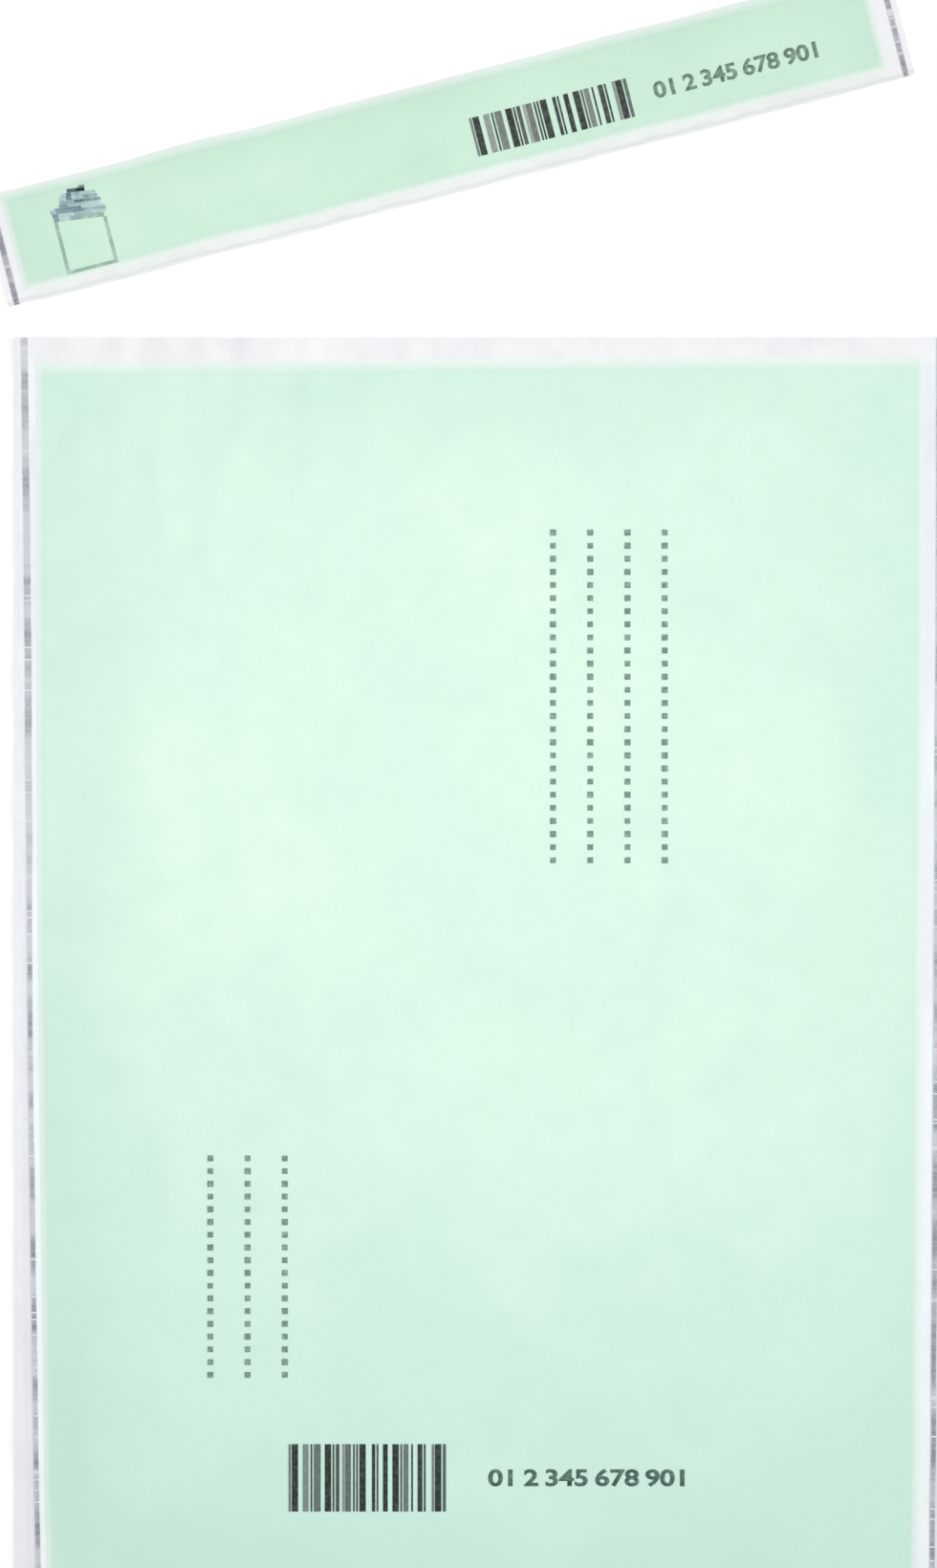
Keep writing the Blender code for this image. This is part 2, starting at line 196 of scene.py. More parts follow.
class ShaderBuilder(NodeBuilder):
    """Builds a Principled material from nodes."""

    def __init__(self, name: str) -> None:
        """Start a material with only a Principled shader and its output.

        Args:
            name: The material's name.
        """
        self.material = bpy.data.materials.new(name)
        self.material.use_nodes = True
        super().__init__(self.material.node_tree)
        self.shader = self.tree.nodes["Principled BSDF"]
        self.place = self.add("ShaderNodeTexCoord").outputs["Object"]

    def noise(self, scale: float, detail: float,
              stretch: tuple = (1.0, 1.0, 1.0)) -> bpy.types.NodeSocket:
        """Add noise on the piece's own coordinates.

        Args:
            scale: Cells to the metre.
            detail: Octaves of finer detail.
            stretch: How much faster the noise changes along each axis.

        Returns:
            The noise value, around 0.5.
        """
        mapping = self.add("ShaderNodeMapping", {"Vector": self.place, "Scale": stretch})
        sockets = {"Vector": mapping.outputs[0], "Scale": scale, "Detail": detail}
        return self.add("ShaderNodeTexNoise", sockets).outputs["Fac"]

    def attribute(self, name: str) -> bpy.types.NodeSocket:
        """Return the value of one of the piece's own number attributes."""
        return self.add("ShaderNodeAttribute", attribute_name=name).outputs["Fac"]

    def spread(self, value, low: float, high: float, to_low: float, to_high: float,
               kind: str = "LINEAR") -> bpy.types.NodeSocket:
        """Map a value from one range to another, held at both ends.

        Args:
            value: The socket to map.
            low: The value that gives to_low.
            high: The value that gives to_high.
            to_low: The result at low.
            to_high: The result at high.
            kind: LINEAR or SMOOTHSTEP.

        Returns:
            The mapped value.
        """
        node = self.add("ShaderNodeMapRange", interpolation_type=kind)
        for key, part in enumerate((value, low, high, to_low, to_high)):
            if isinstance(part, bpy.types.NodeSocket):
                self.tree.links.new(part, node.inputs[key])
            else:
                node.inputs[key].default_value = part
        return node.outputs[0]

    def uneven(self, scale: float, detail: float,
               limits: tuple[float, float]) -> bpy.types.NodeSocket:
        """Return noise spread over a range of values.

        Args:
            scale: Cells to the metre.
            detail: Octaves of finer detail.
            limits: The lowest and the highest value.

        Returns:
            The value.
        """
        return self.spread(self.noise(scale, detail), *NOISE_RANGE, *limits)

    def line_at(self, value, middle: float, solid: float, faded: float,
                share: float = 1.0) -> bpy.types.NodeSocket:
        """Return a share close to a middle value, which fades to 0 away from it.

        Args:
            value: The socket that is compared with the middle.
            middle: The value on the line's middle.
            solid: How far from the middle the share is still whole.
            faded: How far from it the share has become 0.
            share: The share on the line.

        Returns:
            The share.
        """
        off_line = self.math("ABSOLUTE", self.math("SUBTRACT", value, middle))
        return self.spread(off_line, solid, faded, share, 0.0, "SMOOTHSTEP")

    def darken(self, colour, value) -> bpy.types.NodeSocket:
        """Return a colour times a grey of a value."""
        return self.mix(1.0, colour, self.grey(value), "MULTIPLY")

    def part(self, vector, axis: str) -> bpy.types.NodeSocket:
        """Return one part of a vector socket."""
        return self.add("ShaderNodeSeparateXYZ", {0: vector}).outputs[axis]

    def grey(self, value) -> bpy.types.NodeSocket:
        """Return a grey colour of a value."""
        return self.add("ShaderNodeCombineColor", {0: value, 1: value, 2: value}).outputs[0]

    def ramp(self, value, stops: list[tuple[float, Colour]]) -> bpy.types.NodeSocket:
        """Colour a value from 0 to 1 by a list of stops.

        Args:
            value: The socket that picks the colour.
            stops: Positions and colours, in order.

        Returns:
            The colour.
        """
        node = self.add("ShaderNodeValToRGB", {"Fac": value})
        elements = node.color_ramp.elements
        while len(elements) < len(stops):
            elements.new(1.0)
        for element, (position, colour) in zip(elements, stops):
            element.position = position
            element.color = colour
        return node.outputs["Color"]

    def mix(self, share, first, second, blend: str = "MIX") -> bpy.types.NodeSocket:
        """Mix two colours.

        Args:
            share: How much of the second, from 0 to 1.
            first: A colour or a socket.
            second: A colour or a socket.
            blend: The way of mixing.

        Returns:
            The mixed colour.
        """
        node = self.add("ShaderNodeMix", data_type="RGBA", blend_type=blend)
        for key, value in ((0, share), (6, first), (7, second)):
            if isinstance(value, bpy.types.NodeSocket):
                self.tree.links.new(value, node.inputs[key])
            else:
                node.inputs[key].default_value = value
        return node.outputs[2]

    def finish(self, colour, roughness, heights: list[tuple], **values: float) -> bpy.types.Material:
        """Connect the shader and return the material.

        Args:
            colour: The base colour's socket.
            roughness: The roughness socket.
            heights: Pairs of a height socket and its depth in metres, for bump.
            values: Constant values, named as the shader's sockets with underscores.

        Returns:
            The finished material.
        """
        self.tree.links.new(colour, self.shader.inputs["Base Color"])
        self.tree.links.new(roughness, self.shader.inputs["Roughness"])
        normal = None
        for height, depth in heights:
            sockets = {"Height": height, "Distance": depth, "Strength": 1.0}
            if normal is not None:
                sockets["Normal"] = normal
            normal = self.add("ShaderNodeBump", sockets).outputs["Normal"]
        if normal is not None:
            self.tree.links.new(normal, self.shader.inputs["Normal"])
        for name, value in values.items():
            self.shader.inputs[name.replace("_", " ")].default_value = value
        return self.material

    def finish_ink(self, colour, noise, shine: float) -> bpy.types.Material:
        """Finish the material as ink: dull, a little uneven and finely grained.

        Args:
            colour: The ink's colour.
            noise: The noise that its roughness follows.
            shine: How much it shines.

        Returns:
            The finished material.
        """
        roughness = self.spread(noise, *NOISE_RANGE, *INK_ROUGHNESS)
        grain_cells, grain_depth = INK_GRAIN
        heights = [(self.noise(grain_cells, 2.0), grain_depth)]
        return self.finish(colour, roughness, heights, IOR=INK_IOR, Specular_IOR_Level=shine)


@dataclass(frozen=True)
class FilmFinish:
    """White polyethylene film, greyer and bluer at the welds.

    Attributes:
        name: The material's name.
        outer: Colour of the free margin outside the weld.
        lilac: Colour of the margin close outside the weld.
        weld: Colour of the pressed weld line between its dark marks.
        weld_behind: Colour of the weld line seen from the back.
        inner: Colour of the film just inside the weld where it lies clear.
        dim: Its colour there in duller stretches.
        tinted: Colour of the clear film from there to the print.
        beside: Colour of the film right beside the print.
        shade: The film's colour in its greyer patches: its own uneven tone, and painted shade of the
            crinkles in the top band.
        body: The film's own colour.
        hem_shade: Colour of the grey line along a torn edge, where the upper film ends: painted shade
            of that step.
        hem_width: That line's distance from the edge in millimetres, or 0 for no torn edge.
        band_foot: Where, up the page, the white band above the print begins, in metres.
        band_fade: Over what height it takes over, in metres.
        band_share: How far it takes over from the tints beside the weld.
        drift_cells: Slow changes of tone to the metre.
        patch_cells: Patches of tone to the metre.
        patch_share: How much of the tone the patches give; the slow changes give the rest.
        tint_ends: Where, in from the weld, its tints begin to fade and where they are gone.
        beside_reach: How far out from the print its tint starts, in millimetres, below 0.
        lilac_widths: Width of the lilac margin at the pouch's top and at its foot.
        lilac_sway: How much wider it gets where the drift is full.
        streak_place: Where a faint streak runs outside the weld, in millimetres.
        weld_line: Half the weld line's width where it is full and where it has faded.
        weld_relief: The same for its pressed pattern.
        inner_line: Where the clear film beside the weld changes into the tinted one.
        low_shift: How much further in that lies at the pouch's foot.
        low_clear: How much clearer the film gets there.
    """

    name: str = "white_film"
    outer: Colour = screen(241, 243, 247)
    lilac: Colour = screen(234, 236, 245)
    weld: Colour = screen(222, 223, 230)
    weld_behind: Colour = screen(166, 169, 181)
    inner: Colour = screen(245, 254, 255)
    dim: Colour = screen(237, 243, 249)
    tinted: Colour = screen(242, 250, 252)
    beside: Colour = screen(235, 247, 243)
    shade: Colour = screen(241, 241, 245)
    body: Colour = screen(251, 251, 253)
    hem_shade: Colour = screen(232, 231, 233)
    hem_width: float = 0.0
    band_foot: float = 0.1690
    band_fade: float = 0.0015
    band_share: float = 0.85
    drift_cells: float = 26.0
    patch_cells: float = 88.0
    patch_share: float = 0.6
    tint_ends: tuple[float, float] = (4.8, 6.8)
    beside_reach: float = -1.6
    lilac_widths: tuple[float, float] = (0.9, 3.0)
    lilac_sway: float = 0.6
    streak_place: float = -2.3
    weld_line: tuple[float, float] = (0.76, 1.02)
    weld_relief: tuple[float, float] = (0.80, 1.15)
    inner_line: tuple[float, float] = (1.9, 2.7)
    low_shift: float = -1.1
    low_clear: float = -1.2

    def material(self) -> bpy.types.Material:
        """Return the film's material, which reads each point's distance from the weld.

        Returns:
            The material.
        """
        shade = ShaderBuilder(self.name)
        distance = shade.attribute(SEAM_ATTRIBUTE)
        drift_noise = shade.noise(self.drift_cells, 2.0, (1.0, 0.5, 1.0))
        drift = shade.spread(drift_noise, 0.40, 0.62, 0.0, 1.0)
        patch_noise = shade.noise(self.patch_cells, 2.0, (1.0, 0.55, 1.0))
        patches = shade.spread(patch_noise, 0.42, 0.62, 0.0, 1.0)
        # greyer patches: the film's own uneven tone, and painted shade of the top band's crinkles
        slow = shade.math("MULTIPLY", drift, 1.0 - self.patch_share)
        pale = shade.math("MULTIPLY_ADD", patches, self.patch_share, slow)
        body = shade.mix(pale, self.shade, self.body)
        sides = self.side_colour(shade, distance, drift)
        colour = shade.mix(self.own_share(shade, distance), sides, body)
        rim = shade.attribute(RIM_ATTRIBUTE)
        near = shade.spread(rim, self.beside_reach, 0.0, 0.0, 1.0, "SMOOTHSTEP")
        near = shade.math("MULTIPLY", near, shade.spread(rim, 0.5, 2.0, 1.0, 0.0))
        colour = shade.mix(near, colour, self.beside)
        if self.hem_width:
            # painted shade: a grey line along the torn edge, where the upper film's step ends
            worn = shade.math("MULTIPLY_ADD", patches, 0.5, shade.attribute(HEM_ATTRIBUTE))
            colour = shade.mix(shade.line_at(worn, self.hem_width, 0.2, 0.9), colour, self.hem_shade)
        colour = shade.darken(colour, shade.uneven(420.0, 3.0, (0.975, 1.0)))
        roughness = shade.uneven(160.0, 3.0, FILM_ROUGHNESS)
        heights = [
            (shade.noise(170.0, 3.0), 0.10 * MM), (shade.noise(1500.0, 2.0), 0.012 * MM),
            (self.knurl(shade, distance), 0.03 * MM),
        ]
        return shade.finish(colour, roughness, heights, IOR=FILM_IOR)

    def own_share(self, shade: ShaderBuilder, distance) -> bpy.types.NodeSocket:
        """Return where the film shows its own colour: inside the margins and in the top band.

        Args:
            shade: The material's builder.
            distance: The distance inwards from the weld, in millimetres.

        Returns:
            The share of the film's own colour.
        """
        inside = shade.spread(distance, *self.tint_ends, 0.0, 1.0, "SMOOTHSTEP")
        up_page = shade.part(shade.place, "Y")
        band_full = self.band_foot + self.band_fade
        in_band = shade.spread(up_page, self.band_foot, band_full, 0.0, self.band_share)
        past_weld = shade.spread(distance, 1.0, 1.5, 0.0, 1.0)
        return shade.math("MAXIMUM", inside, shade.math("MULTIPLY", in_band, past_weld))

    def side_colour(self, shade: ShaderBuilder, distance, drift) -> bpy.types.NodeSocket:
        """Return the colours across a weld: margin, lilac band, weld line and inner film.

        Args:
            shade: The material's builder.
            distance: The distance inwards from the weld, in millimetres.
            drift: A slow noise along the margin.

        Returns:
            The colour.
        """
        up_page = shade.part(shade.place, "Y")
        width = shade.spread(up_page, 0.10, -0.18, *self.lilac_widths)
        width = shade.math("MULTIPLY_ADD", drift, self.lilac_sway, width)
        outside = shade.math("ADD", distance, width)
        band = shade.spread(outside, -0.7, 0.7, 0.0, 1.0, "SMOOTHSTEP")
        margin = shade.mix(band, self.outer, self.lilac)
        streak = shade.line_at(distance, self.streak_place, 0.15, 0.45)
        broken = shade.spread(shade.noise(190.0, 2.0), 0.42, 0.62, 0.0, 0.8)
        margin = shade.mix(shade.math("MULTIPLY", streak, broken), margin, self.lilac)
        past = shade.spread(distance, 0.70, 1.05, 0.0, 1.0, "SMOOTHSTEP")
        low = shade.spread(up_page, 0.05, -0.12, 0.0, self.low_shift)
        from_line = shade.math("ADD", distance, low)
        further = shade.spread(from_line, *self.inner_line, 0.0, 1.0, "SMOOTHSTEP")
        stretch = shade.spread(shade.noise(16.0, 1.0, (0.3, 1.0, 1.0)), 0.42, 0.58, 0.0, 1.0)
        stretch = shade.math("MULTIPLY_ADD", low, self.low_clear, stretch)
        clear = shade.mix(further, self.inner, self.tinted)
        base = shade.mix(past, margin, shade.mix(stretch, self.dim, clear))
        normal = shade.add("ShaderNodeTexCoord").outputs["Normal"]
        behind = shade.spread(shade.part(normal, "Z"), -0.5, 0.0, 1.0, 0.0)
        worn = shade.spread(shade.noise(420.0, 1.0), 0.38, 0.60, 0.35, 1.0)
        behind = shade.math("MULTIPLY", behind, worn)
        weld = shade.mix(behind, self.weld, self.weld_behind)
        return shade.mix(shade.line_at(distance, 0.0, *self.weld_line), base, weld)

    def knurl(self, shade: ShaderBuilder, distance) -> bpy.types.NodeSocket:
        """Return the pressed pattern's height: low in the weld line, level elsewhere.

        Args:
            shade: The material's builder.
            distance: The distance inwards from the weld, in millimetres.

        Returns:
            The height.
        """
        line = shade.line_at(distance, 0.0, *self.weld_relief)
        grain = shade.noise(1900.0, 0.0)
        return shade.math("MULTIPLY", line, shade.math("SUBTRACT", grain, 1.2))


@dataclass(frozen=True)
class FieldFinish:
    """Pale green print on the film, with painted shade that grows deeper towards its edges, its
    corners and the pouch's foot.

    Attributes:
        name: The material's name.
        light: The lighter green of the middle, where the painted shade is least.
        deep: The deeper green near the edges, mixed in by painted shade and by the print's own uneven
            tone.
        rim: Colour where the ink thins out at the very edge.
        rim_width: How far in the ink is thin, in millimetres.
        line: Colour of the faint darker line inside the thin rim, a painted shadow along the print's
            edge.
        line_share: How much that painted shadow line shows.
        painted_foot_shade: How much deeper the green is painted towards the pouch's foot, as painted
            shade of the light's falloff there, from 0 to 1.
        foot: Where, up the page, that painted shade begins and where it is deepest, in metres.
        middle_share: How much of the light green comes from a point's distance inwards, as painted
            shade that grows deeper towards the edges and corners.
        cloud_share: How much of it comes from slow clouds.
        patch_share: How much of it comes from smaller patches.
    """

    name: str
    light: Colour
    deep: Colour
    rim: Colour = screen(239, 250, 245)
    rim_width: float = 2.7
    line: Colour = screen(206, 234, 220)
    line_share: float = 0.22
    painted_foot_shade: float = 0.68
    foot: tuple[float, float] = (0.05, -0.16)
    middle_share: float = 0.52
    cloud_share: float = 0.26
    patch_share: float = 0.22

    def material(self) -> bpy.types.Material:
        """Return the print's material, which reads the distance from its own edge.

        Returns:
            The material.
        """
        shade = ShaderBuilder(self.name)
        distance = shade.attribute(RIM_ATTRIBUTE)
        cloud = shade.spread(shade.noise(13.0, 1.0), 0.36, 0.64, 0.0, 1.0, "SMOOTHSTEP")
        patch = shade.spread(shade.noise(52.0, 3.0), 0.32, 0.68, 0.0, 1.0)
        # painted shade: the green grows deeper towards the print's edges and corners
        share = shade.math("MULTIPLY", shade.attribute(INWARD_ATTRIBUTE), self.middle_share)
        share = shade.math("MULTIPLY_ADD", cloud, self.cloud_share, share)
        share = shade.math("MULTIPLY_ADD", patch, self.patch_share, share)
        # painted shade: the green grows deeper towards the pouch's foot, where the light falls off
        up_page = shade.part(shade.place, "Y")
        below = shade.spread(up_page, *self.foot, 0.0, self.painted_foot_shade, "SMOOTHSTEP")
        share = shade.spread(shade.math("SUBTRACT", share, below), 0.0, 1.0, 0.0, 1.0)
        green = shade.mix(share, self.deep, self.light)
        ragged = shade.math("MULTIPLY_ADD", shade.noise(900.0, 2.0), -0.5, distance)
        full = shade.math("POWER", shade.spread(ragged, -0.3, self.rim_width, 0.0, 1.0), 0.65)
        # painted shadow: a faint darker line just inside the print's edge
        on_line = shade.line_at(ragged, 0.8 * self.rim_width, 0.1, 1.2, self.line_share)
        inked = shade.mix(full, self.rim, shade.mix(on_line, green, self.line))
        colour = shade.darken(inked, shade.uneven(700.0, 2.0, (0.985, 1.0)))
        roughness = shade.uneven(120.0, 3.0, FILM_ROUGHNESS)
        grain_cells, grain_depth = INK_GRAIN
        heights = [(shade.noise(150.0, 3.0), 0.06 * MM), (shade.noise(grain_cells, 2.0), grain_depth)]
        return shade.finish(colour, roughness, heights, IOR=FILM_IOR)


@dataclass(frozen=True)
class InkFinish:
    """Dark ink, a little thinner in places.

    Attributes:
        name: The material's name.
        solid: Colour of the ink where it lies full.
        thin: Colour where it is thinner, and where a piece's own tone is 1.
        grain: Cells to the metre of the uneven ink.
        uneven: How much the unevenness shows, from 0 to 1.
        shine: How much the ink shines.
    """

    name: str
    solid: Colour
    thin: Colour
    grain: float = 900.0
    uneven: float = 1.0
    shine: float = 0.22

    def material(self) -> bpy.types.Material:
        """Return the ink's material, which reads the piece's own tone where it has one.

        Returns:
            The material.
        """
        shade = ShaderBuilder(self.name)
        noise = shade.noise(self.grain, 2.0)
        patch = shade.spread(noise, 0.42, 0.68, 0.0, self.uneven)
        share = shade.math("ADD", patch, shade.attribute(TONE_ATTRIBUTE))
        share = shade.spread(share, 0.0, 1.0, 0.0, 1.0)
        colour = shade.mix(share, self.solid, self.thin)
        return shade.finish_ink(colour, noise, self.shine)


@dataclass(frozen=True)
class DrawingFinish:
    """The inks of the small drawing, picked by each shape's own tone.

    Attributes:
        name: The material's name.
        card: Colour of tone 0, the card.
        stroke: Colour of tone 0.38, the flap's darkest strokes.
        flap: Colour of tone 0.62, most of its strokes.
        pale: Colour of tone 0.8, its palest strokes.
        outline: Colour of tone 1, the bag's outline.
        shine: How much the ink shines.
    """

    name: str = "drawing_ink"
    card: Colour = screen(20, 34, 38)
    stroke: Colour = screen(98, 126, 138)
    flap: Colour = screen(158, 186, 190)
    pale: Colour = screen(200, 224, 226)
    outline: Colour = screen(155, 187, 167)
    shine: float = 0.22

    def material(self) -> bpy.types.Material:
        """Return the drawing's material, its tones a little worn by noise.

        Returns:
            The material.
        """
        shade = ShaderBuilder(self.name)
        noise = shade.noise(1300.0, 2.0)
        grain = shade.spread(noise, *NOISE_RANGE, -0.05, 0.05)
        patches = shade.spread(shade.noise(260.0, 1.0), 0.35, 0.65, -0.10, 0.06)
        tone = shade.math("ADD", shade.attribute(TONE_ATTRIBUTE), shade.math("ADD", grain, patches))
        stops = [
            (0.04, self.card), (0.38, self.stroke), (0.62, self.flap), (0.80, self.pale),
            (0.98, self.outline),
        ]
        colour = shade.ramp(tone, stops)
        return shade.finish_ink(colour, noise, self.shine)


@dataclass
class Placement:
    """A flat piece's own directions: x along it, y across it towards its top.

    Attributes:
        origin: The middle of the piece, in the frame.
        turn: The angle of its own x from the frame's +X, in radians.
    """

    origin: Vector = field(default_factory=lambda: Vector((0.0, 0.0, 0.0)))
    turn: float = 0.0

    @classmethod
    def of_strip(cls, node: str) -> "Placement":
        """Return the placement of a long flat node that is turned anticlockwise.

        Args:
            node: The node's name.

        Returns:
            The placement at its middle, with x along its long side.
        """
        points = node_points(node)
        lower_left = points[np.argmin(points[:, 1])]
        lower_right = points[np.argmax(points[:, 0])]
        along = lower_right - lower_left
        middle = (points.min(axis=0) + points.max(axis=0)) / 2
        return cls(Vector((middle[0], middle[1], 0.0)), math.atan2(along[1], along[0]))

    def to_world(self, x: Array, y: Array) -> tuple[Array, Array]:
        """Turn the piece's own x and y into the frame's."""
        c, s = math.cos(self.turn), math.sin(self.turn)
        return self.origin.x + c * x - s * y, self.origin.y + s * x + c * y

    def local_points(self, node: str) -> Array:
        """Return a node's points in the piece's own directions.

        Args:
            node: The node's name.

        Returns:
            Rows of x, y and z.
        """
        points = node_points(node)
        c, s = math.cos(self.turn), math.sin(self.turn)
        x, y = points[:, 0] - self.origin.x, points[:, 1] - self.origin.y
        return np.stack((c * x + s * y, -s * x + c * y, points[:, 2]), axis=1)

    def box(self, node: str) -> "Box":
        """Return a node's rectangle in the piece's own directions."""
        points = self.local_points(node)
        return Box(*points[:, :2].min(axis=0), *points[:, :2].max(axis=0))


@dataclass
class Box:
    """A rectangle: its left, bottom, right and top."""

    left: float
    bottom: float
    right: float
    top: float

    @property
    def width(self) -> float:
        """Return the rectangle's width."""
        return self.right - self.left

    @property
    def height(self) -> float:
        """Return the rectangle's height."""
        return self.top - self.bottom

    @property
    def middle(self) -> tuple[float, float]:
        """Return the rectangle's middle."""
        return (self.left + self.right) / 2, (self.bottom + self.top) / 2


def node_points(node: str) -> Array:
    """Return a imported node's points in the frame.

    Args:
        node: The node's name.

    Returns:
        Rows of x, y and z.
    """
    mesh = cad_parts[node].data
    points = np.empty(len(mesh.vertices) * 3)
    mesh.vertices.foreach_get("co", points)
    return points.reshape(-1, 3)


def plain_object(name: str, mesh: bpy.types.Mesh, material: bpy.types.Material) -> bpy.types.Object:
    """Put a mesh into the scene at the origin.

    Args:
        name: The object's name.
        mesh: Its mesh, in the frame's coordinates.
        material: The only material of the mesh.

    Returns:
        The new object.
    """
    mesh.name = name
    mesh.materials.clear()
    mesh.materials.append(material)
    made = bpy.data.objects.new(name, mesh)
    bpy.context.scene.collection.objects.link(made)
    return made


def face_up(bm: bmesh.types.BMesh) -> None:
    """Turn every face of a flat mesh so that it faces up.

    Args:
        bm: The mesh that is being edited.
    """
    for face in bm.faces:
        face.normal_update()
        if face.normal.z < 0.0:
            face.normal_flip()


def dress(piece: bpy.types.Object, slot: str, *nodes: str) -> None:
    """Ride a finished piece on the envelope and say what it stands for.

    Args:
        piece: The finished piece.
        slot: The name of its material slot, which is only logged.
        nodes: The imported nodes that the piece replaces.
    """
    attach(piece, BODY)
    if nodes:
        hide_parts(*nodes)
    LOG.info("%s: %d faces, slot %s", piece.name, len(piece.data.polygons), slot)


@dataclass(frozen=True)
class Crease:
    """A soft ridge in the film.

    Attributes:
        x: Where its middle is, along the film.
        y: Where its middle is, across the film.
        length: Its length.
        width: Half its width.
        height: How far it rises; negative for a dip.
        turn: Its angle from the film's x, in degrees.
        bow: How far its middle bends sideways.
        taper: The share of its half length over which it rises from each end.
    """

    x: float
    y: float
    length: float
    width: float
    height: float
    turn: float = 0.0
    bow: float = 0.0
    taper: float = 0.6

    def rise(self, x: Array, y: Array) -> Array:
        """Return the ridge's height at points of the film.

        Args:
            x: The points' x.
            y: The points' y.

        Returns:
            The heights.
        """
        c, s = math.cos(math.radians(self.turn)), math.sin(math.radians(self.turn))
        along = (c * (x - self.x) + s * (y - self.y)) / (self.length / 2)
        across = -s * (x - self.x) + c * (y - self.y)
        across = across + self.bow * (along * along - 0.5)
        risen = smooth_step((1.0 - np.abs(along)) / self.taper)
        return self.height * risen * np.exp(-((across / self.width) ** 2))


@dataclass(frozen=True)
class Waves:
    """A smooth uneven field: a sum of plane waves with random directions.

    Attributes:
        seed: The seed of the random waves.
        shortest: The shortest wavelength.
        longest: The longest wavelength.
        height: The typical height.
        heading: The middle of the waves' directions, in degrees.
        fan: Half the range of their directions, in degrees.
        count: How many waves are summed.
    """

    seed: int
    shortest: float
    longest: float
    height: float
    heading: float = 0.0
    fan: float = 180.0
    count: int = 22

    def rise(self, x: Array, y: Array) -> Array:
        """Return the field's height at points of the film.

        Args:
            x: The points' x.
            y: The points' y.

        Returns:
            The heights.
        """
        random = np.random.default_rng(self.seed)
        total = np.zeros_like(x)
        for _ in range(self.count):
            length = random.uniform(self.shortest, self.longest)
            angle = math.radians(self.heading + random.uniform(-self.fan, self.fan))
            phase = random.uniform(0.0, 2.0 * math.pi)
            travel = math.cos(angle) * x + math.sin(angle) * y
            total += np.cos(2.0 * math.pi * travel / length + phase)
        return self.height * total * math.sqrt(2.0 / self.count)


@dataclass
class FilmGrid:
    """A film body as a grid of points: rows from bottom to top, columns from left to right.

    Attributes:
        x: Each point's own x.
        y: Each point's own y.
        top: Height of the upper film.
        bottom: Height of the lower film.
        marks: Attribute name to each point's value.
        placement: Where the film lies in the frame.
    """

    x: Array
    y: Array
    top: Array
    bottom: Array
    marks: dict
    placement: Placement

    def layer(self, layer: Layer, rows: slice, columns: slice) -> "FilmGrid":
        """Return a thin layer over a block of this film.

        Args:
            layer: The layer's heights.
            rows: The block's rows.
            columns: The block's columns.

        Returns:
            The layer.
        """
        low, high = layer.value
        x, y, top = (array[rows, columns] for array in (self.x, self.y, self.top))
        marks = {name: values[rows, columns] for name, values in self.marks.items()}
        return FilmGrid(x, y, top + high, top + low, marks, self.placement)

    def mesh(self, name: str) -> bpy.types.Mesh:
        """Return the closed mesh between the two films.

        Args:
            name: The mesh's name.

        Returns:
            A closed mesh in the frame's coordinates, smooth but for its rim.
        """
        rows, columns = self.x.shape
        world_x, world_y = self.placement.to_world(self.x, self.y)
        upper = np.stack((world_x, world_y, self.top), axis=-1).reshape(-1, 3)
        lower = np.stack((world_x, world_y, self.bottom), axis=-1).reshape(-1, 3)
        index = np.arange(rows * columns).reshape(rows, columns)
        a, b = index[:-1, :-1].ravel(), index[:-1, 1:].ravel()
        c, d = index[1:, 1:].ravel(), index[1:, :-1].ravel()
        over = np.stack((a, b, c, d), axis=1)
        under = np.stack((d, c, b, a), axis=1) + rows * columns
        ring = np.concatenate((index[0, :-1], index[:-1, -1], index[-1, :0:-1], index[:0:-1, 0]))
        after = np.roll(ring, -1)
        rim = np.stack((ring + rows * columns, after + rows * columns, after, ring), axis=1)
        mesh = bpy.data.meshes.new(name)
        mesh.from_pydata(np.concatenate((upper, lower)).tolist(), [],
                         np.concatenate((over, under, rim)).tolist())
        for label, values in self.marks.items():
            attribute = mesh.attributes.new(label, "FLOAT", "POINT")
            doubled = np.concatenate((values.ravel(), values.ravel())).astype(np.float32)
            attribute.data.foreach_set("value", doubled)
        mesh.shade_smooth()
        mesh.set_sharp_from_angle(angle=SHARP_ANGLE)
        mesh.validate()
        return mesh


@dataclass
class Steps:
    """A line divided between stops, as the zone and the share of it that each place has.

    Attributes:
        zone: The zone of each place, counted from 0.
        share: How far each place is through its zone, from 0 to 1.
        marks: The index of each stop among the places.
    """

    zone: Array
    share: Array
    marks: list[int]

    @classmethod
    def between(cls, stops: list[float], spacings: list[float]) -> "Steps":
        """Divide a line evenly within each zone.

        Args:
            stops: The zones' ends, in order.
            spacings: The widest step in each zone.

        Returns:
            The steps.
        """
        zone, share, marks = [0], [0.0], [0]
        for i, spacing in enumerate(spacings):
            count = max(1, math.ceil((stops[i + 1] - stops[i]) / spacing))
            zone.extend([i] * count)
            share.extend((step + 1) / count for step in range(count))
            marks.append(len(zone) - 1)
        return cls(np.array(zone), np.array(share), marks)

    def between_lines(self, lines: list, axis: int) -> Array:
        """Return the places on a grid, between lines that may bow.

        Args:
            lines: Each stop's place along the other direction, or one number.
            axis: 0 where the steps run down the rows, 1 where they run along the columns.

        Returns:
            The grid of places.
        """
        parts = []
        for zone, share in zip(self.zone, self.share):
            low, high = lines[zone], lines[zone + 1]
            parts.append(np.asarray(low + (high - low) * share, dtype=float))
        length = max(part.size for part in parts)
        return np.stack([np.broadcast_to(part, (length,)) for part in parts], axis=axis)


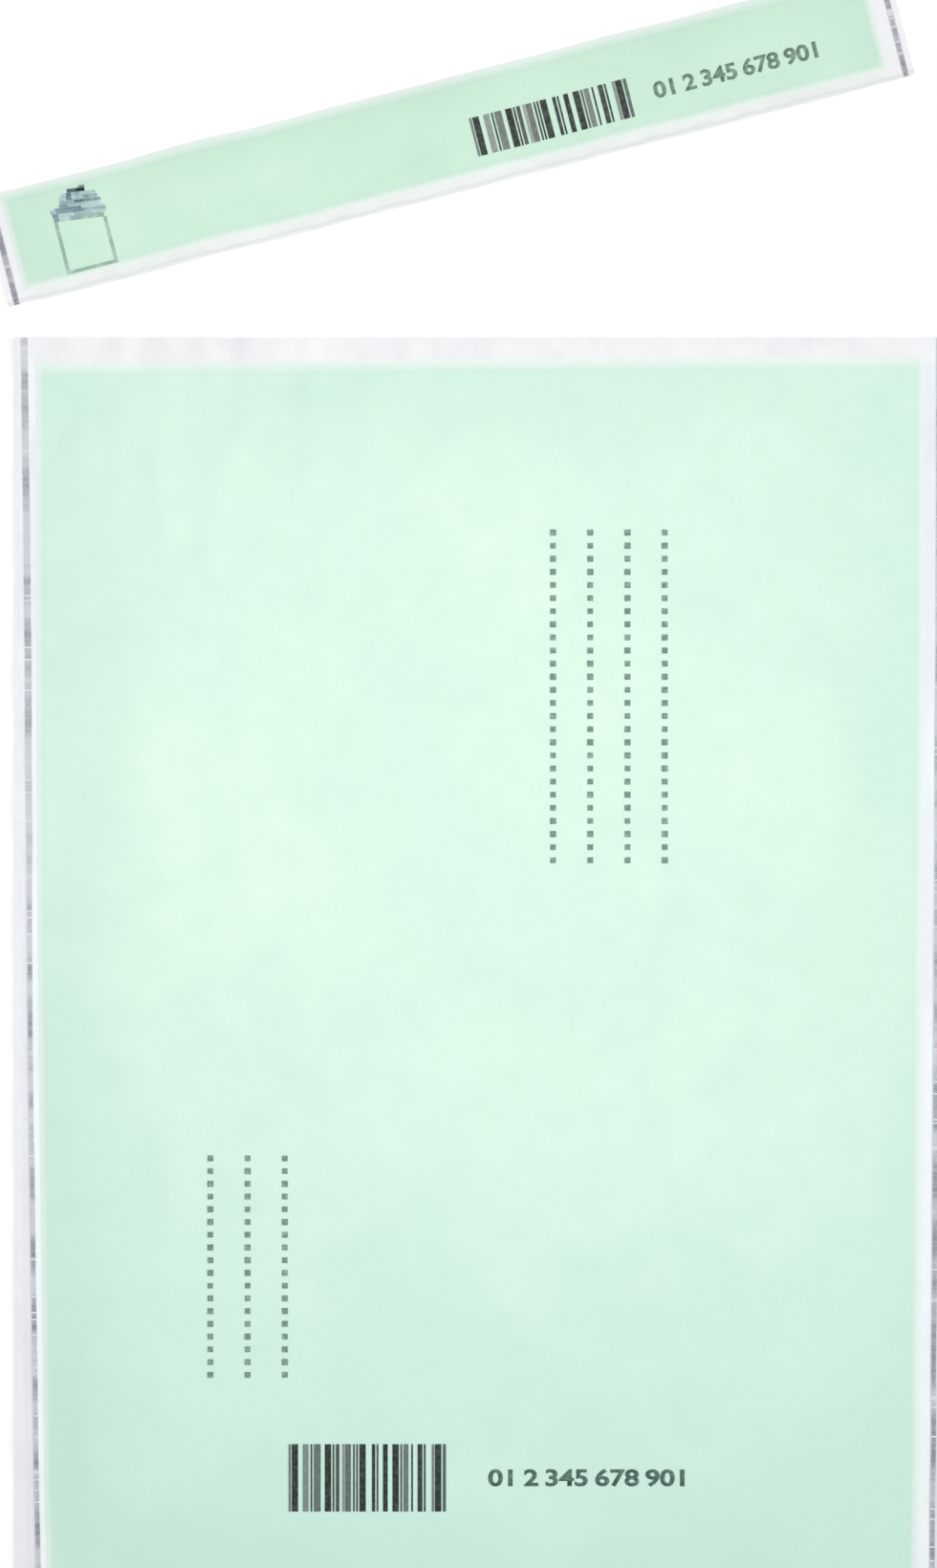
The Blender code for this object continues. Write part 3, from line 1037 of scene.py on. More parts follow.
@dataclass
class WeldLine:
    """The middle line of a packed weld, as x over y in the film's own directions.

    Attributes:
        curve: The line's polynomial.
        low: Its lower end.
        high: Its upper end.
        width: Its width.
        bow: How far it bows towards the right.
        bow_peak: Where it bows most, as a share of its length from the top.
    """

    curve: Array
    low: float
    high: float
    width: float
    bow: float = 0.0
    bow_peak: float = 0.28

    @classmethod
    def of_node(cls, placement: Placement, node: str, bow: float = 0.0) -> "WeldLine":
        """Read a packed weld line.

        Args:
            placement: The directions of the film that is welded.
            node: The weld's node.
            bow: How far it bows towards the right.

        Returns:
            The line.
        """
        points = placement.local_points(node)
        low, high = float(points[:, 1].min()), float(points[:, 1].max())
        foot = points[points[:, 1] < low + TOLERANCE, 0]
        curve = fit_curve(points[:, 1], points[:, 0])
        return cls(curve, low, high, float(foot.max() - foot.min()), bow)

    def at(self, y: Array) -> Array:
        """Return the line's x at each y.

        Args:
            y: The heights along the line.

        Returns:
            The places across it.
        """
        down = (self.high - y) / (self.high - self.low)
        from_peak = np.clip(np.abs(down / self.bow_peak - 1.0), 0.0, 1.0)
        return np.polyval(self.curve, y) + self.bow * smooth_step(1.0 - from_peak)

    def path(self, move, steps: int = 90) -> bpy.types.Mesh:
        """Return the line as a chain of edges.

        Args:
            move: Turns x and y into the film's own slightly uneven x and y.
            steps: How many edges the chain has.

        Returns:
            The chain, in the film's own directions.
        """
        y = np.linspace(self.low, self.high, steps + 1)
        x, y = move(self.at(y), y)
        points = np.stack((x, y, np.zeros_like(x)), axis=1)
        mesh = bpy.data.meshes.new("weld_path")
        mesh.from_pydata(points.tolist(), [(i, i + 1) for i in range(steps)], [])
        return mesh


@dataclass
class FieldOutline:
    """The edges of a packed printed field, in the film's own directions.

    Attributes:
        box: The field's rectangle.
        left_side: Its left side, x over y.
        right_side: Its right side, x over y.
        top_side: Its top, y over x.
    """

    box: Box
    left_side: Array
    right_side: Array
    top_side: Array

    @classmethod
    def of_node(cls, placement: Placement, node: str) -> "FieldOutline":
        """Read a packed field from the lowest ring of its solid.

        Args:
            placement: The film's directions.
            node: The field's node.

        Returns:
            The outline.
        """
        points = placement.local_points(node)
        box = placement.box(node)
        x, y = points[points[:, 2] < points[:, 2].min() + TOLERANCE, :2].T
        corner, band, side = 0.95 * MM, 3.0 * MM, 5.0 * MM
        level = (y > box.bottom + corner) & (y < box.top - band)
        left, right = level & (x < box.left + side), level & (x > box.right - side)
        upper = (y > box.top - band) & (x > box.left + corner) & (x < box.right - corner)
        return cls(
            box, fit_curve(y[left], x[left]), fit_curve(y[right], x[right]),
            np.polyfit(x[upper], y[upper], 1),
        )

    def left(self, y: Array) -> Array:
        """Return the left side's x at each y."""
        return np.polyval(self.left_side, y)

    def right(self, y: Array) -> Array:
        """Return the right side's x at each y."""
        return np.polyval(self.right_side, y)

    def top(self, x: Array) -> Array:
        """Return the top's y at each x."""
        return np.polyval(self.top_side, x)

    def inset(self, x: Array, y: Array) -> tuple[Array, Array]:
        """Return each point's distance inwards from the nearer side, and from top or bottom."""
        across = np.minimum(x - self.left(y), self.right(y) - x)
        return across, np.minimum(self.top(x) - y, y - self.box.bottom)


class PrintTrees:
    """The geometry node trees that make the print and lay it on a film.

    Attributes:
        COMMON: Name, socket type and default of the inputs that every print tree has.
        RAY_HEIGHT: How far over the frame's floor the film under a print is looked for.
        DOT_SCALES: The smallest and the largest size of a dot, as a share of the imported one.
        BAR_WEAR: The range from which a bar's tone is drawn; below 0 it is full black.
        MARK_WIDTHS: The narrowest and the widest mark, as a share of the line's width.
        MARK_LENGTHS: The shortest and the longest mark, as a share of the given length.
        PATCH_LIMITS: The noise values at which a mark is darkest and palest.
        SLANT_SPAN: The heights at which the slant is darkest and palest, in metres.
        NARROW_SPAN: The heights at which marks begin to narrow and have done so, in metres.
    """

    COMMON = [
        ("Film", "NodeSocketObject", None), ("Origin", "NodeSocketVector", (0.0, 0.0, 0.0)),
        ("Turn", "NodeSocketFloat", 0.0), ("Lift", "NodeSocketFloat", 0.0),
        ("Thickness", "NodeSocketFloat", 0.0001), ("Material", "NodeSocketMaterial", None),
    ]
    RAY_HEIGHT = 0.1
    DOT_SCALES = (0.93, 1.06)
    BAR_WEAR = (-0.7, 0.9)
    MARK_WIDTHS = (0.86, 1.0)
    MARK_LENGTHS = (0.70, 1.1)
    PATCH_LIMITS = (0.41, 0.59)
    SLANT_SPAN = (-0.09, 0.06)
    NARROW_SPAN = (0.06, 0.02)

    def __init__(self) -> None:
        """Build the shared groups and the trees that use them."""
        self.raise_ink = self._raise_group()
        self.drape = self._drape_group()
        self.flat_print = self._flat_print_tree()
        self.dots = self._dot_tree()
        self.bars = self._bar_tree()
        self.marks = self._mark_tree()

    @staticmethod
    def _tree(
        name: str, inputs: list[tuple[str, str, object]]
    ) -> tuple[NodeBuilder, dict, bpy.types.Node]:
        """Start a geometry tree.

        Args:
            name: The tree's name.
            inputs: Name, socket type and default of each input after Geometry.

        Returns:
            The builder, the input sockets by name, and the group's output node.
        """
        tree = bpy.data.node_groups.new(name, "GeometryNodeTree")
        tree.is_modifier = True
        face = tree.interface
        face.new_socket("Geometry", in_out="INPUT", socket_type="NodeSocketGeometry")
        for label, kind, default in inputs:
            socket = face.new_socket(label, in_out="INPUT", socket_type=kind)
            if default is not None:
                socket.default_value = default
        face.new_socket("Geometry", in_out="OUTPUT", socket_type="NodeSocketGeometry")
        build = NodeBuilder(tree)
        start = build.add("NodeGroupInput")
        given = {socket.name: socket for socket in start.outputs if socket.name}
        return build, given, build.add("NodeGroupOutput")

    @staticmethod
    def _random(build: NodeBuilder, limits: tuple[float, float], seed) -> bpy.types.NodeSocket:
        """Return a random number for each point.

        Args:
            build: The tree's builder.
            limits: The lowest and the highest number.
            seed: A number or an output socket.

        Returns:
            The number.
        """
        sockets = {2: limits[0], 3: limits[1], "Seed": seed}
        return build.add("FunctionNodeRandomValue", sockets, data_type="FLOAT").outputs[1]

    @staticmethod
    def _store_tone(build: NodeBuilder, points, tone) -> bpy.types.NodeSocket:
        """Return points that carry a tone each, which their shapes take over.

        Args:
            build: The tree's builder.
            points: The points' socket.
            tone: The tone's socket.

        Returns:
            The points.
        """
        sockets = {"Geometry": points, "Name": TONE_ATTRIBUTE, "Value": tone}
        kind = "GeometryNodeStoreNamedAttribute"
        return build.add(kind, sockets, data_type="FLOAT", domain="POINT").outputs[0]

    def _raise_group(self) -> bpy.types.NodeTree:
        """Return the group that turns flat faces into closed plates of a thickness.

        Returns:
            The node tree.
        """
        build, given, end = self._tree("raise_ink", [("Thickness", "NodeSocketFloat", 0.0001)])
        sides = build.add("GeometryNodeExtrudeMesh", {
            "Mesh": given["Geometry"], "Offset Scale": given["Thickness"], "Individual": False,
        })
        under = build.add("GeometryNodeFlipFaces", {"Mesh": given["Geometry"]})
        joined = build.add("GeometryNodeJoinGeometry")
        build.tree.links.new(sides.outputs["Mesh"], joined.inputs[0])
        build.tree.links.new(under.outputs["Mesh"], joined.inputs[0])
        closed = build.add("GeometryNodeMergeByDistance", {
            "Geometry": joined.outputs[0], "Distance": MERGE_DISTANCE,
        })
        build.tree.links.new(closed.outputs[0], end.inputs[0])
        return build.tree

    def _drape_group(self) -> bpy.types.NodeTree:
        """Return the group that turns, moves and lays a print on the film under it.

        Returns:
            The node tree.
        """
        build, given, end = self._tree("drape_print", self.COMMON[:4])
        turn = build.add("ShaderNodeCombineXYZ", {"Z": given["Turn"]})
        euler = build.add("FunctionNodeEulerToRotation", {0: turn.outputs[0]})
        placed = build.add("GeometryNodeTransform", {
            "Geometry": given["Geometry"], "Translation": given["Origin"],
            "Rotation": euler.outputs[0],
        })
        film = build.add("GeometryNodeObjectInfo", {"Object": given["Film"]})
        position = build.add("GeometryNodeInputPosition").outputs[0]
        apart = build.add("ShaderNodeSeparateXYZ", {0: position})
        above = build.add("ShaderNodeCombineXYZ", {
            "X": apart.outputs["X"], "Y": apart.outputs["Y"], "Z": self.RAY_HEIGHT,
        })
        ray = build.add("GeometryNodeRaycast", {
            "Target Geometry": film.outputs["Geometry"], "Source Position": above.outputs[0],
            "Ray Direction": (0.0, 0.0, -1.0), "Ray Length": 2.0 * self.RAY_HEIGHT,
        })
        hit = build.add("ShaderNodeSeparateXYZ", {0: ray.outputs["Hit Position"]})
        height = build.math("ADD", hit.outputs["Z"], given["Lift"])
        offset = build.add("ShaderNodeCombineXYZ", {"Z": height})
        laid = build.add("GeometryNodeSetPosition", {
            "Geometry": placed.outputs[0], "Offset": offset.outputs[0],
        })
        build.tree.links.new(laid.outputs[0], end.inputs[0])
        return build.tree

    def _close(self, build: NodeBuilder, given: dict, flat, end: bpy.types.Node) -> None:
        """End a tree: raise the flat faces, lay them on the film and give them their material.

        Args:
            build: The tree's builder.
            given: The tree's input sockets.
            flat: The socket with the flat faces, facing up.
            end: The group's output node.
        """
        raised = build.add("GeometryNodeGroup", node_tree=self.raise_ink)
        build.tree.links.new(flat, raised.inputs["Geometry"])
        build.tree.links.new(given["Thickness"], raised.inputs["Thickness"])
        laid = build.add("GeometryNodeGroup", node_tree=self.drape)
        build.tree.links.new(raised.outputs[0], laid.inputs["Geometry"])
        for label, _, _ in self.COMMON[:4]:
            build.tree.links.new(given[label], laid.inputs[label])
        real = build.add("GeometryNodeRealizeInstances", {"Geometry": laid.outputs[0]})
        done = build.add("GeometryNodeSetMaterial", {
            "Geometry": real.outputs[0], "Material": given["Material"],
        })
        build.tree.links.new(done.outputs[0], end.inputs[0])

    def _flat_print_tree(self) -> bpy.types.NodeTree:
        """Return the tree that raises and lays a flat mesh, such as figures or a drawing.

        Returns:
            The node tree.
        """
        build, given, end = self._tree("flat_print", self.COMMON)
        self._close(build, given, given["Geometry"], end)
        return build.tree

    def _dot_tree(self) -> bpy.types.NodeTree:
        """Return the tree that prints a row of square dots with soft corners.

        Returns:
            The node tree.
        """
        build, given, end = self._tree("dot_row", [
            ("Start", "NodeSocketVector", (0.0, 0.0, 0.0)),
            ("Step", "NodeSocketVector", (0.0, -0.0035, 0.0)),
            ("Count", "NodeSocketInt", 26), ("Dot Size", "NodeSocketFloat", 0.0016),
            ("Corner", "NodeSocketFloat", 0.0004), ("Seed", "NodeSocketInt", 1), *self.COMMON,
        ])
        points = build.add("GeometryNodeMeshLine", {
            "Count": given["Count"], "Start Location": given["Start"], "Offset": given["Step"],
        })
        square = build.add("GeometryNodeCurvePrimitiveQuadrilateral", {
            "Width": given["Dot Size"], "Height": given["Dot Size"],
        })
        soft = build.add("GeometryNodeFilletCurve", {
            "Curve": square.outputs[0], "Radius": given["Corner"], "Count": 3,
        }, mode="POLY")
        dot = build.add("GeometryNodeFillCurve", {"Curve": soft.outputs[0]}, mode="NGONS")
        scale = self._random(build, self.DOT_SCALES, given["Seed"])
        size = build.add("ShaderNodeCombineXYZ", {"X": scale, "Y": scale, "Z": 1.0})
        row = build.add("GeometryNodeInstanceOnPoints", {
            "Points": points.outputs[0], "Instance": dot.outputs[0], "Scale": size.outputs[0],
        })
        real = build.add("GeometryNodeRealizeInstances", {"Geometry": row.outputs[0]})
        self._close(build, given, real.outputs[0], end)
        return build.tree

    @staticmethod
    def _bar_and_gap(build: NodeBuilder, index) -> tuple[bpy.types.NodeSocket, bpy.types.NodeSocket]:
        """Return the widths of a bar and the gap after it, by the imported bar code's rule.

        Args:
            build: The tree's builder.
            index: The bar's number.

        Returns:
            Both widths, in units.
        """
        square = build.math("MULTIPLY", index, index)
        cube = build.math("MULTIPLY", square, index)
        bar = build.math("MODULO", build.math("MULTIPLY_ADD", index, 2.0, cube), 11.0)
        gap = build.math("ADD", build.math("ADD", square, index), 4.0)
        gap = build.math("MODULO", gap, 17.0)
        return tuple(build.math("ADD", build.math("MODULO", part, 4.0), 1.0) for part in (bar, gap))

    def _bar_tree(self) -> bpy.types.NodeTree:
        """Return the tree that prints upright bars, their widths and gaps by a plain rule.

        Returns:
            The node tree.
        """
        build, given, end = self._tree("bar_row", [
            ("Left", "NodeSocketFloat", 0.0), ("Middle", "NodeSocketFloat", 0.0),
            ("Width", "NodeSocketFloat", 0.042), ("Height", "NodeSocketFloat", 0.018),
            ("Bars", "NodeSocketInt", 25), ("Segments", "NodeSocketInt", 12),
            ("Ink Spread", "NodeSocketFloat", 0.0001), ("Gap Fill", "NodeSocketFloat", 0.0),
            ("Seed", "NodeSocketInt", 1), *self.COMMON,
        ])
        points = build.add("GeometryNodePoints", {"Count": given["Bars"]})
        index = build.add("GeometryNodeInputIndex").outputs[0]
        bar, gap = self._bar_and_gap(build, index)
        stripe = build.math("ADD", bar, gap)
        sums = build.add("GeometryNodeAccumulateField", {0: stripe}, data_type="FLOAT")
        last = build.math("SUBTRACT", given["Bars"], 1.0)
        last_gap = self._bar_and_gap(build, last)[1]
        inked = build.math("SUBTRACT", sums.outputs["Total"], last_gap)
        unit = build.math("DIVIDE", given["Width"], inked)
        worn = self._random(build, self.BAR_WEAR, given["Seed"])
        tone = build.math("MAXIMUM", worn, 0.0)
        not_last = build.math("LESS_THAN", index, last)
        filled = build.math("MULTIPLY", build.math("MULTIPLY", tone, gap), given["Gap Fill"])
        wide = build.math("MULTIPLY_ADD", filled, not_last, bar)
        centre = build.math("MULTIPLY_ADD", wide, 0.5, sums.outputs["Trailing"])
        x = build.math("MULTIPLY_ADD", centre, unit, given["Left"])
        place = build.add("ShaderNodeCombineXYZ", {"X": x, "Y": given["Middle"]})
        placed = build.add("GeometryNodeSetPosition", {
            "Geometry": points.outputs[0], "Position": place.outputs[0],
        })
        toned = self._store_tone(build, placed.outputs[0], tone)
        blank = build.add("GeometryNodeMeshGrid", {
            "Size X": 1.0, "Size Y": given["Height"], "Vertices X": 2,
            "Vertices Y": given["Segments"],
        })
        size = build.add("ShaderNodeCombineXYZ", {
            "X": build.math("MULTIPLY_ADD", wide, unit, given["Ink Spread"]), "Y": 1.0, "Z": 1.0,
        })
        row = build.add("GeometryNodeInstanceOnPoints", {
            "Points": toned, "Instance": blank.outputs[0], "Scale": size.outputs[0],
        })
        real = build.add("GeometryNodeRealizeInstances", {"Geometry": row.outputs[0]})
        self._close(build, given, real.outputs[0], end)
        return build.tree

    def _mark_tree(self) -> bpy.types.NodeTree:
        """Return the tree that presses fine marks along a path, darker and paler in patches.

        Returns:
            The node tree.
        """
        build, given, end = self._tree("weld_marks", [
            ("Pitch", "NodeSocketFloat", 0.0005), ("Length", "NodeSocketFloat", 0.0004),
            ("Width", "NodeSocketFloat", 0.0017), ("Narrow", "NodeSocketFloat", 0.0),
            ("Slant", "NodeSocketFloat", 0.0), ("Missing", "NodeSocketFloat", 0.05),
            ("Patches", "NodeSocketFloat", 110.0), ("Seed", "NodeSocketInt", 1), *self.COMMON,
        ])
        path = build.add("GeometryNodeMeshToCurve", {"Mesh": given["Geometry"]})
        points = build.add("GeometryNodeCurveToPoints", {
            "Curve": path.outputs[0], "Length": given["Pitch"],
        }, mode="LENGTH")
        chance = self._random(build, (0.0, 1.0), given["Seed"])
        kept = build.math("GREATER_THAN", chance, given["Missing"])
        patches = build.add("ShaderNodeTexNoise", {
            "W": build.math("MULTIPLY", given["Seed"], 1.7), "Scale": given["Patches"],
            "Detail": 3.0,
        }, noise_dimensions="4D")
        position = build.add("GeometryNodeInputPosition").outputs[0]
        height = build.add("ShaderNodeSeparateXYZ", {0: position}).outputs["Y"]
        darkest, palest = self.PATCH_LIMITS
        tone = build.add("ShaderNodeMapRange", {
            0: patches.outputs[0], 1: darkest, 2: palest, 3: 0.0, 4: 1.0,
        })
        dark_end, pale_end = self.SLANT_SPAN
        slant = build.add("ShaderNodeMapRange", {
            0: height, 1: dark_end, 2: pale_end, 3: -1.0, 4: 1.0,
        })
        slanted = build.math("MULTIPLY_ADD", slant.outputs[0], given["Slant"], tone.outputs[0])
        toned = self._store_tone(build, points.outputs["Points"], slanted)
        across = self._random(build, self.MARK_WIDTHS, build.math("ADD", given["Seed"], 7.0))
        along = self._random(build, self.MARK_LENGTHS, build.math("ADD", given["Seed"], 13.0))
        whole, narrowed = self.NARROW_SPAN
        narrow = build.add("ShaderNodeMapRange", {
            0: height, 1: whole, 2: narrowed, 3: 0.0, 4: given["Narrow"],
        }).outputs[0]
        aside = build.math("MULTIPLY", build.math("MULTIPLY", narrow, given["Width"]), 0.5)
        shift = build.add("ShaderNodeCombineXYZ", {"X": aside})
        shifted = build.add("GeometryNodeSetPosition", {
            "Geometry": toned, "Offset": shift.outputs[0],
        })
        size = build.add("ShaderNodeCombineXYZ", {
            "X": build.math("MULTIPLY", across, build.math("SUBTRACT", 1.0, narrow)),
            "Y": along, "Z": 1.0,
        })
        turn = build.add("FunctionNodeAlignRotationToVector", {
            "Vector": points.outputs["Tangent"],
        }, axis="Y", pivot_axis="Z")
        mark = build.add("GeometryNodeMeshGrid", {
            "Size X": given["Width"], "Size Y": given["Length"], "Vertices X": 2, "Vertices Y": 2,
        })
        row = build.add("GeometryNodeInstanceOnPoints", {
            "Points": shifted.outputs[0], "Selection": kept, "Instance": mark.outputs["Mesh"],
            "Rotation": turn.outputs[0], "Scale": size.outputs[0],
        })
        real = build.add("GeometryNodeRealizeInstances", {"Geometry": row.outputs[0]})
        self._close(build, given, real.outputs[0], end)
        return build.tree


@dataclass
class PrintPress:
    """Prints pieces on one film with the geometry node trees.

    Attributes:
        trees: The trees.
        film: The film's finished object.
        placement: Where the film lies.
    """

    trees: PrintTrees
    film: bpy.types.Object
    placement: Placement

    def run(self, name: str, tree: bpy.types.NodeTree, layer: Layer, material: bpy.types.Material,
            values: dict, source: bpy.types.Mesh | None = None) -> bpy.types.Object:
        """Run a tree once and keep its result as a plain mesh.

        Args:
            name: The piece's name.
            tree: The tree to run.
            layer: The layer that the print lies in.
            material: The print's material.
            values: Input name to value, beside those that every tree has.
            source: The flat mesh that the tree starts from, if it needs one.

        Returns:
            The finished piece.
        """
        carrier = bpy.data.objects.new(f"{name}_carrier", source or bpy.data.meshes.new(name))
        bpy.context.scene.collection.objects.link(carrier)
        modifier = carrier.modifiers.new("print", "NODES")
        modifier.node_group = tree
        inputs = {
            "Film": self.film, "Origin": self.placement.origin, "Turn": self.placement.turn,
            "Lift": layer.lift, "Thickness": layer.thickness, "Material": material, **values,
        }
        for item in tree.interface.items_tree:
            if item.item_type == "SOCKET" and item.in_out == "INPUT" and item.name in inputs:
                modifier[item.identifier] = inputs[item.name]
        graph = bpy.context.evaluated_depsgraph_get()
        mesh = bpy.data.meshes.new_from_object(carrier.evaluated_get(graph))
        bpy.data.objects.remove(carrier, do_unlink=True)
        return plain_object(name, mesh, material)


@dataclass
class DottedLines:
    """Rows of dots that run down the pouch, one for each packed line node.

    Attributes:
        node_stem: The nodes' common name, before their number.
        lines: How many lines there are.
        dots: How many dots each has.
        corner: The dots' corner radius.
        seed: The seed of the small differences among dots.
    """

    node_stem: str
    lines: int
    dots: int
    corner: float = 0.14 * MM
    seed: int = 11

    def build(self, press: PrintPress, material: bpy.types.Material) -> None:
        """Print every line.

        Args:
            press: The press of the film that carries the lines.
            material: The dots' material.
        """
        for number in range(1, self.lines + 1):
            node = f"{self.node_stem}_{number}"
            box = press.placement.box(node)
            size = box.width
            pitch = (box.height - size) / (self.dots - 1)
            piece = press.run(f"{node}_dots", press.trees.dots, Layer.INK, material, {
                "Start": (box.middle[0], box.top - size / 2, 0.0), "Step": (0.0, -pitch, 0.0),
                "Count": self.dots, "Dot Size": size, "Corner": self.corner,
                "Seed": self.seed + number,
            })
            dress(piece, "dot_grey", node)


@dataclass
class BarCode:
    """A block of upright bars.

    Attributes:
        node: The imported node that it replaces.
        bars: How many bars there are.
        segments: Points up each bar, so that it follows the film.
        spread: How much wider the ink of each bar has run.
        gap_fill: How much of its gap a bar of the palest tone fills.
        seed: The seed of the bars' tones.
    """

    node: str
    bars: int = 25
    segments: int = 12
    spread: float = 0.03 * MM
    gap_fill: float = 0.85
    seed: int = 4

    def build(self, press: PrintPress, material: bpy.types.Material) -> None:
        """Print the bars.

        Args:
            press: The press of the film that carries them.
            material: The bars' material.
        """
        box = press.placement.box(self.node)
        piece = press.run(f"{self.node}_bars", press.trees.bars, Layer.INK, material, {
            "Left": box.left, "Middle": box.middle[1], "Width": box.width,
            "Height": box.height, "Bars": self.bars, "Segments": self.segments,
            "Ink Spread": self.spread, "Gap Fill": self.gap_fill, "Seed": self.seed,
        })
        dress(piece, "bar_black", self.node)


@dataclass
class FigureRow:
    """A row of plain figures, counted up from zero in groups.

    Attributes:
        name: The piece's name.
        bar_code: The node of the bar code that they stand beside.
        beside: From the bar code's right side to the middle of the row.
        width: The row's width.
        height: The figures' height.
        up: How much higher than the bar code's middle the row's middle is.
        text: The figures.
        weight: How much the strokes are thickened, as a share of the figures' size.
        word_gap: The gap between groups, as a share of the letterform's own.
    """

    name: str
    bar_code: str
    beside: float
    width: float
    height: float
    up: float = 0.0
    text: str = "01 2 345 678 901"
    weight: float = 0.027
    word_gap: float = 0.72

    def flat_mesh(self, middle: tuple[float, float]) -> bpy.types.Mesh:
        """Return the figures as flat faces that face up, at their place and size.

        Args:
            middle: The middle of the row in the film's own directions.

        Returns:
            The flat mesh.
        """
        curve = bpy.data.curves.new(self.name, "FONT")
        curve.body = self.text
        curve.resolution_u = 6
        curve.offset = self.weight
        curve.space_word = self.word_gap
        writer = bpy.data.objects.new(self.name, curve)
        bpy.context.scene.collection.objects.link(writer)
        graph = bpy.context.evaluated_depsgraph_get()
        mesh = bpy.data.meshes.new_from_object(writer.evaluated_get(graph))
        bpy.data.objects.remove(writer, do_unlink=True)
        bm = bmesh.new()
        bm.from_mesh(mesh)
        bmesh.ops.remove_doubles(bm, verts=bm.verts, dist=MERGE_DISTANCE)
        face_up(bm)
        xs = [vert.co.x for vert in bm.verts]
        ys = [vert.co.y for vert in bm.verts]
        scale_x = self.width / (max(xs) - min(xs))
        scale_y = self.height / (max(ys) - min(ys))
        for vert in bm.verts:
            vert.co.x = (vert.co.x - (min(xs) + max(xs)) / 2) * scale_x + middle[0]
            vert.co.y = (vert.co.y - (min(ys) + max(ys)) / 2) * scale_y + middle[1]
        bm.to_mesh(mesh)
        bm.free()
        return mesh

    def build(self, press: PrintPress, material: bpy.types.Material) -> None:
        """Print the figures.

        Args:
            press: The press of the film that carries them.
            material: Their ink.
        """
        bars = press.placement.box(self.bar_code)
        middle = (bars.right + self.beside, bars.middle[1] + self.up)
        tree = press.trees.flat_print
        piece = press.run(self.name, tree, Layer.INK, material, {}, self.flat_mesh(middle))
        dress(piece, "bar_black")


@dataclass
class WeldMarks:
    """The dark line of fine marks that a weld presses into the film.

    Attributes:
        node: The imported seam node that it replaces.
        pitch: The distance from mark to mark.
        length: A mark's length along the line.
        widen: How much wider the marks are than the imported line.
        narrow: How much narrower they are down the lower part of the line, from 0 to 1.
        slant: How much paler they are along the upper part and darker along the lower one.
        missing: The share of places that stay empty.
        patches: Darker and paler patches to the metre.
        seed: The seed of the marks' sizes and tones.
        bow: How far the line bows towards the right.
    """

    node: str
    pitch: float = 0.46 * MM
    length: float = 0.40 * MM
    widen: float = 1.22
    narrow: float = 0.0
    slant: float = 0.0
    missing: float = 0.05
    patches: float = 110.0
    seed: int = 3
    bow: float = 0.0

    def build(self, press: PrintPress, material: bpy.types.Material, move) -> None:
        """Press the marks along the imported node's own line.

        Args:
            press: The press of the film that is welded.
            material: The marks' material.
            move: Turns x and y into the film's own slightly uneven x and y.
        """
        line = WeldLine.of_node(press.placement, self.node, self.bow)
        tree = press.trees.marks
        piece = press.run(f"{self.node}_marks", tree, Layer.WELD, material, {
            "Pitch": self.pitch, "Length": self.length, "Width": line.width * self.widen,
            "Narrow": self.narrow, "Slant": self.slant, "Missing": self.missing,
            "Patches": self.patches, "Seed": self.seed,
        }, line.path(move))
        dress(piece, "seam_grey", self.node)


@dataclass
class FilmBody:
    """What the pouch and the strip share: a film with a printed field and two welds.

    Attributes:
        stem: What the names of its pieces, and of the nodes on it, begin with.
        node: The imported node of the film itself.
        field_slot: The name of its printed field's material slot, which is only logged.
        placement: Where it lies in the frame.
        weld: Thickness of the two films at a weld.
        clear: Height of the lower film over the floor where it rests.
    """

    stem: str = "pouch"
    node: str = "pouch"
    field_slot: str = "field_green"
    placement: Placement = field(default_factory=Placement)
    weld: float = 0.22 * MM
    clear: float = 0.03 * MM

    def move(self, x: Array, y: Array) -> tuple[Array, Array]:
        """Turn even x and y into the film's own; each body has its own way."""
        raise NotImplementedError

    def grid(self) -> tuple[FilmGrid, slice, slice]:
        """Return the film's grid and its field's rows and columns; each body has its own."""
        raise NotImplementedError

    def from_welds(self, x: Array, y: Array, bow: float = 0.0) -> Array:
        """Return how far inwards each point lies from the nearer weld line.

        Args:
            x: The points' x.
            y: The points' y.
            bow: How far the left line bows inwards.

        Returns:
            The distance, below zero outside the line.
        """
        left = WeldLine.of_node(self.placement, f"{self.stem}_left_seam", bow)
        right = WeldLine.of_node(self.placement, f"{self.stem}_right_seam")
        return np.minimum(x - left.at(y), right.at(y) - x)

    def lay(self, trees: PrintTrees, looks: tuple, marks: tuple[WeldMarks, ...]) -> PrintPress:
        """Make the film, its printed field and its weld marks.

        Args:
            trees: The geometry node trees.
            looks: The materials of the film, the field and the weld marks.
            marks: The marks of each weld.

        Returns:
            The press that prints on the field.
        """
        film_look, field_look, weld_look = looks
        film_name, field_name = f"{self.stem}_film", f"{self.stem}_print_field"
        grid, rows, columns = self.grid()
        film = plain_object(film_name, grid.mesh(film_name), film_look)
        printed = grid.layer(Layer.FIELD, rows, columns).mesh(field_name)
        field_piece = plain_object(field_name, printed, field_look)
        dress(film, "film_white", self.node)
        dress(field_piece, self.field_slot, f"{self.stem}_colour_field")
        edge_press = PrintPress(trees, film, self.placement)
        for line in marks:
            line.build(edge_press, weld_look, self.move)
        return PrintPress(trees, field_piece, self.placement)


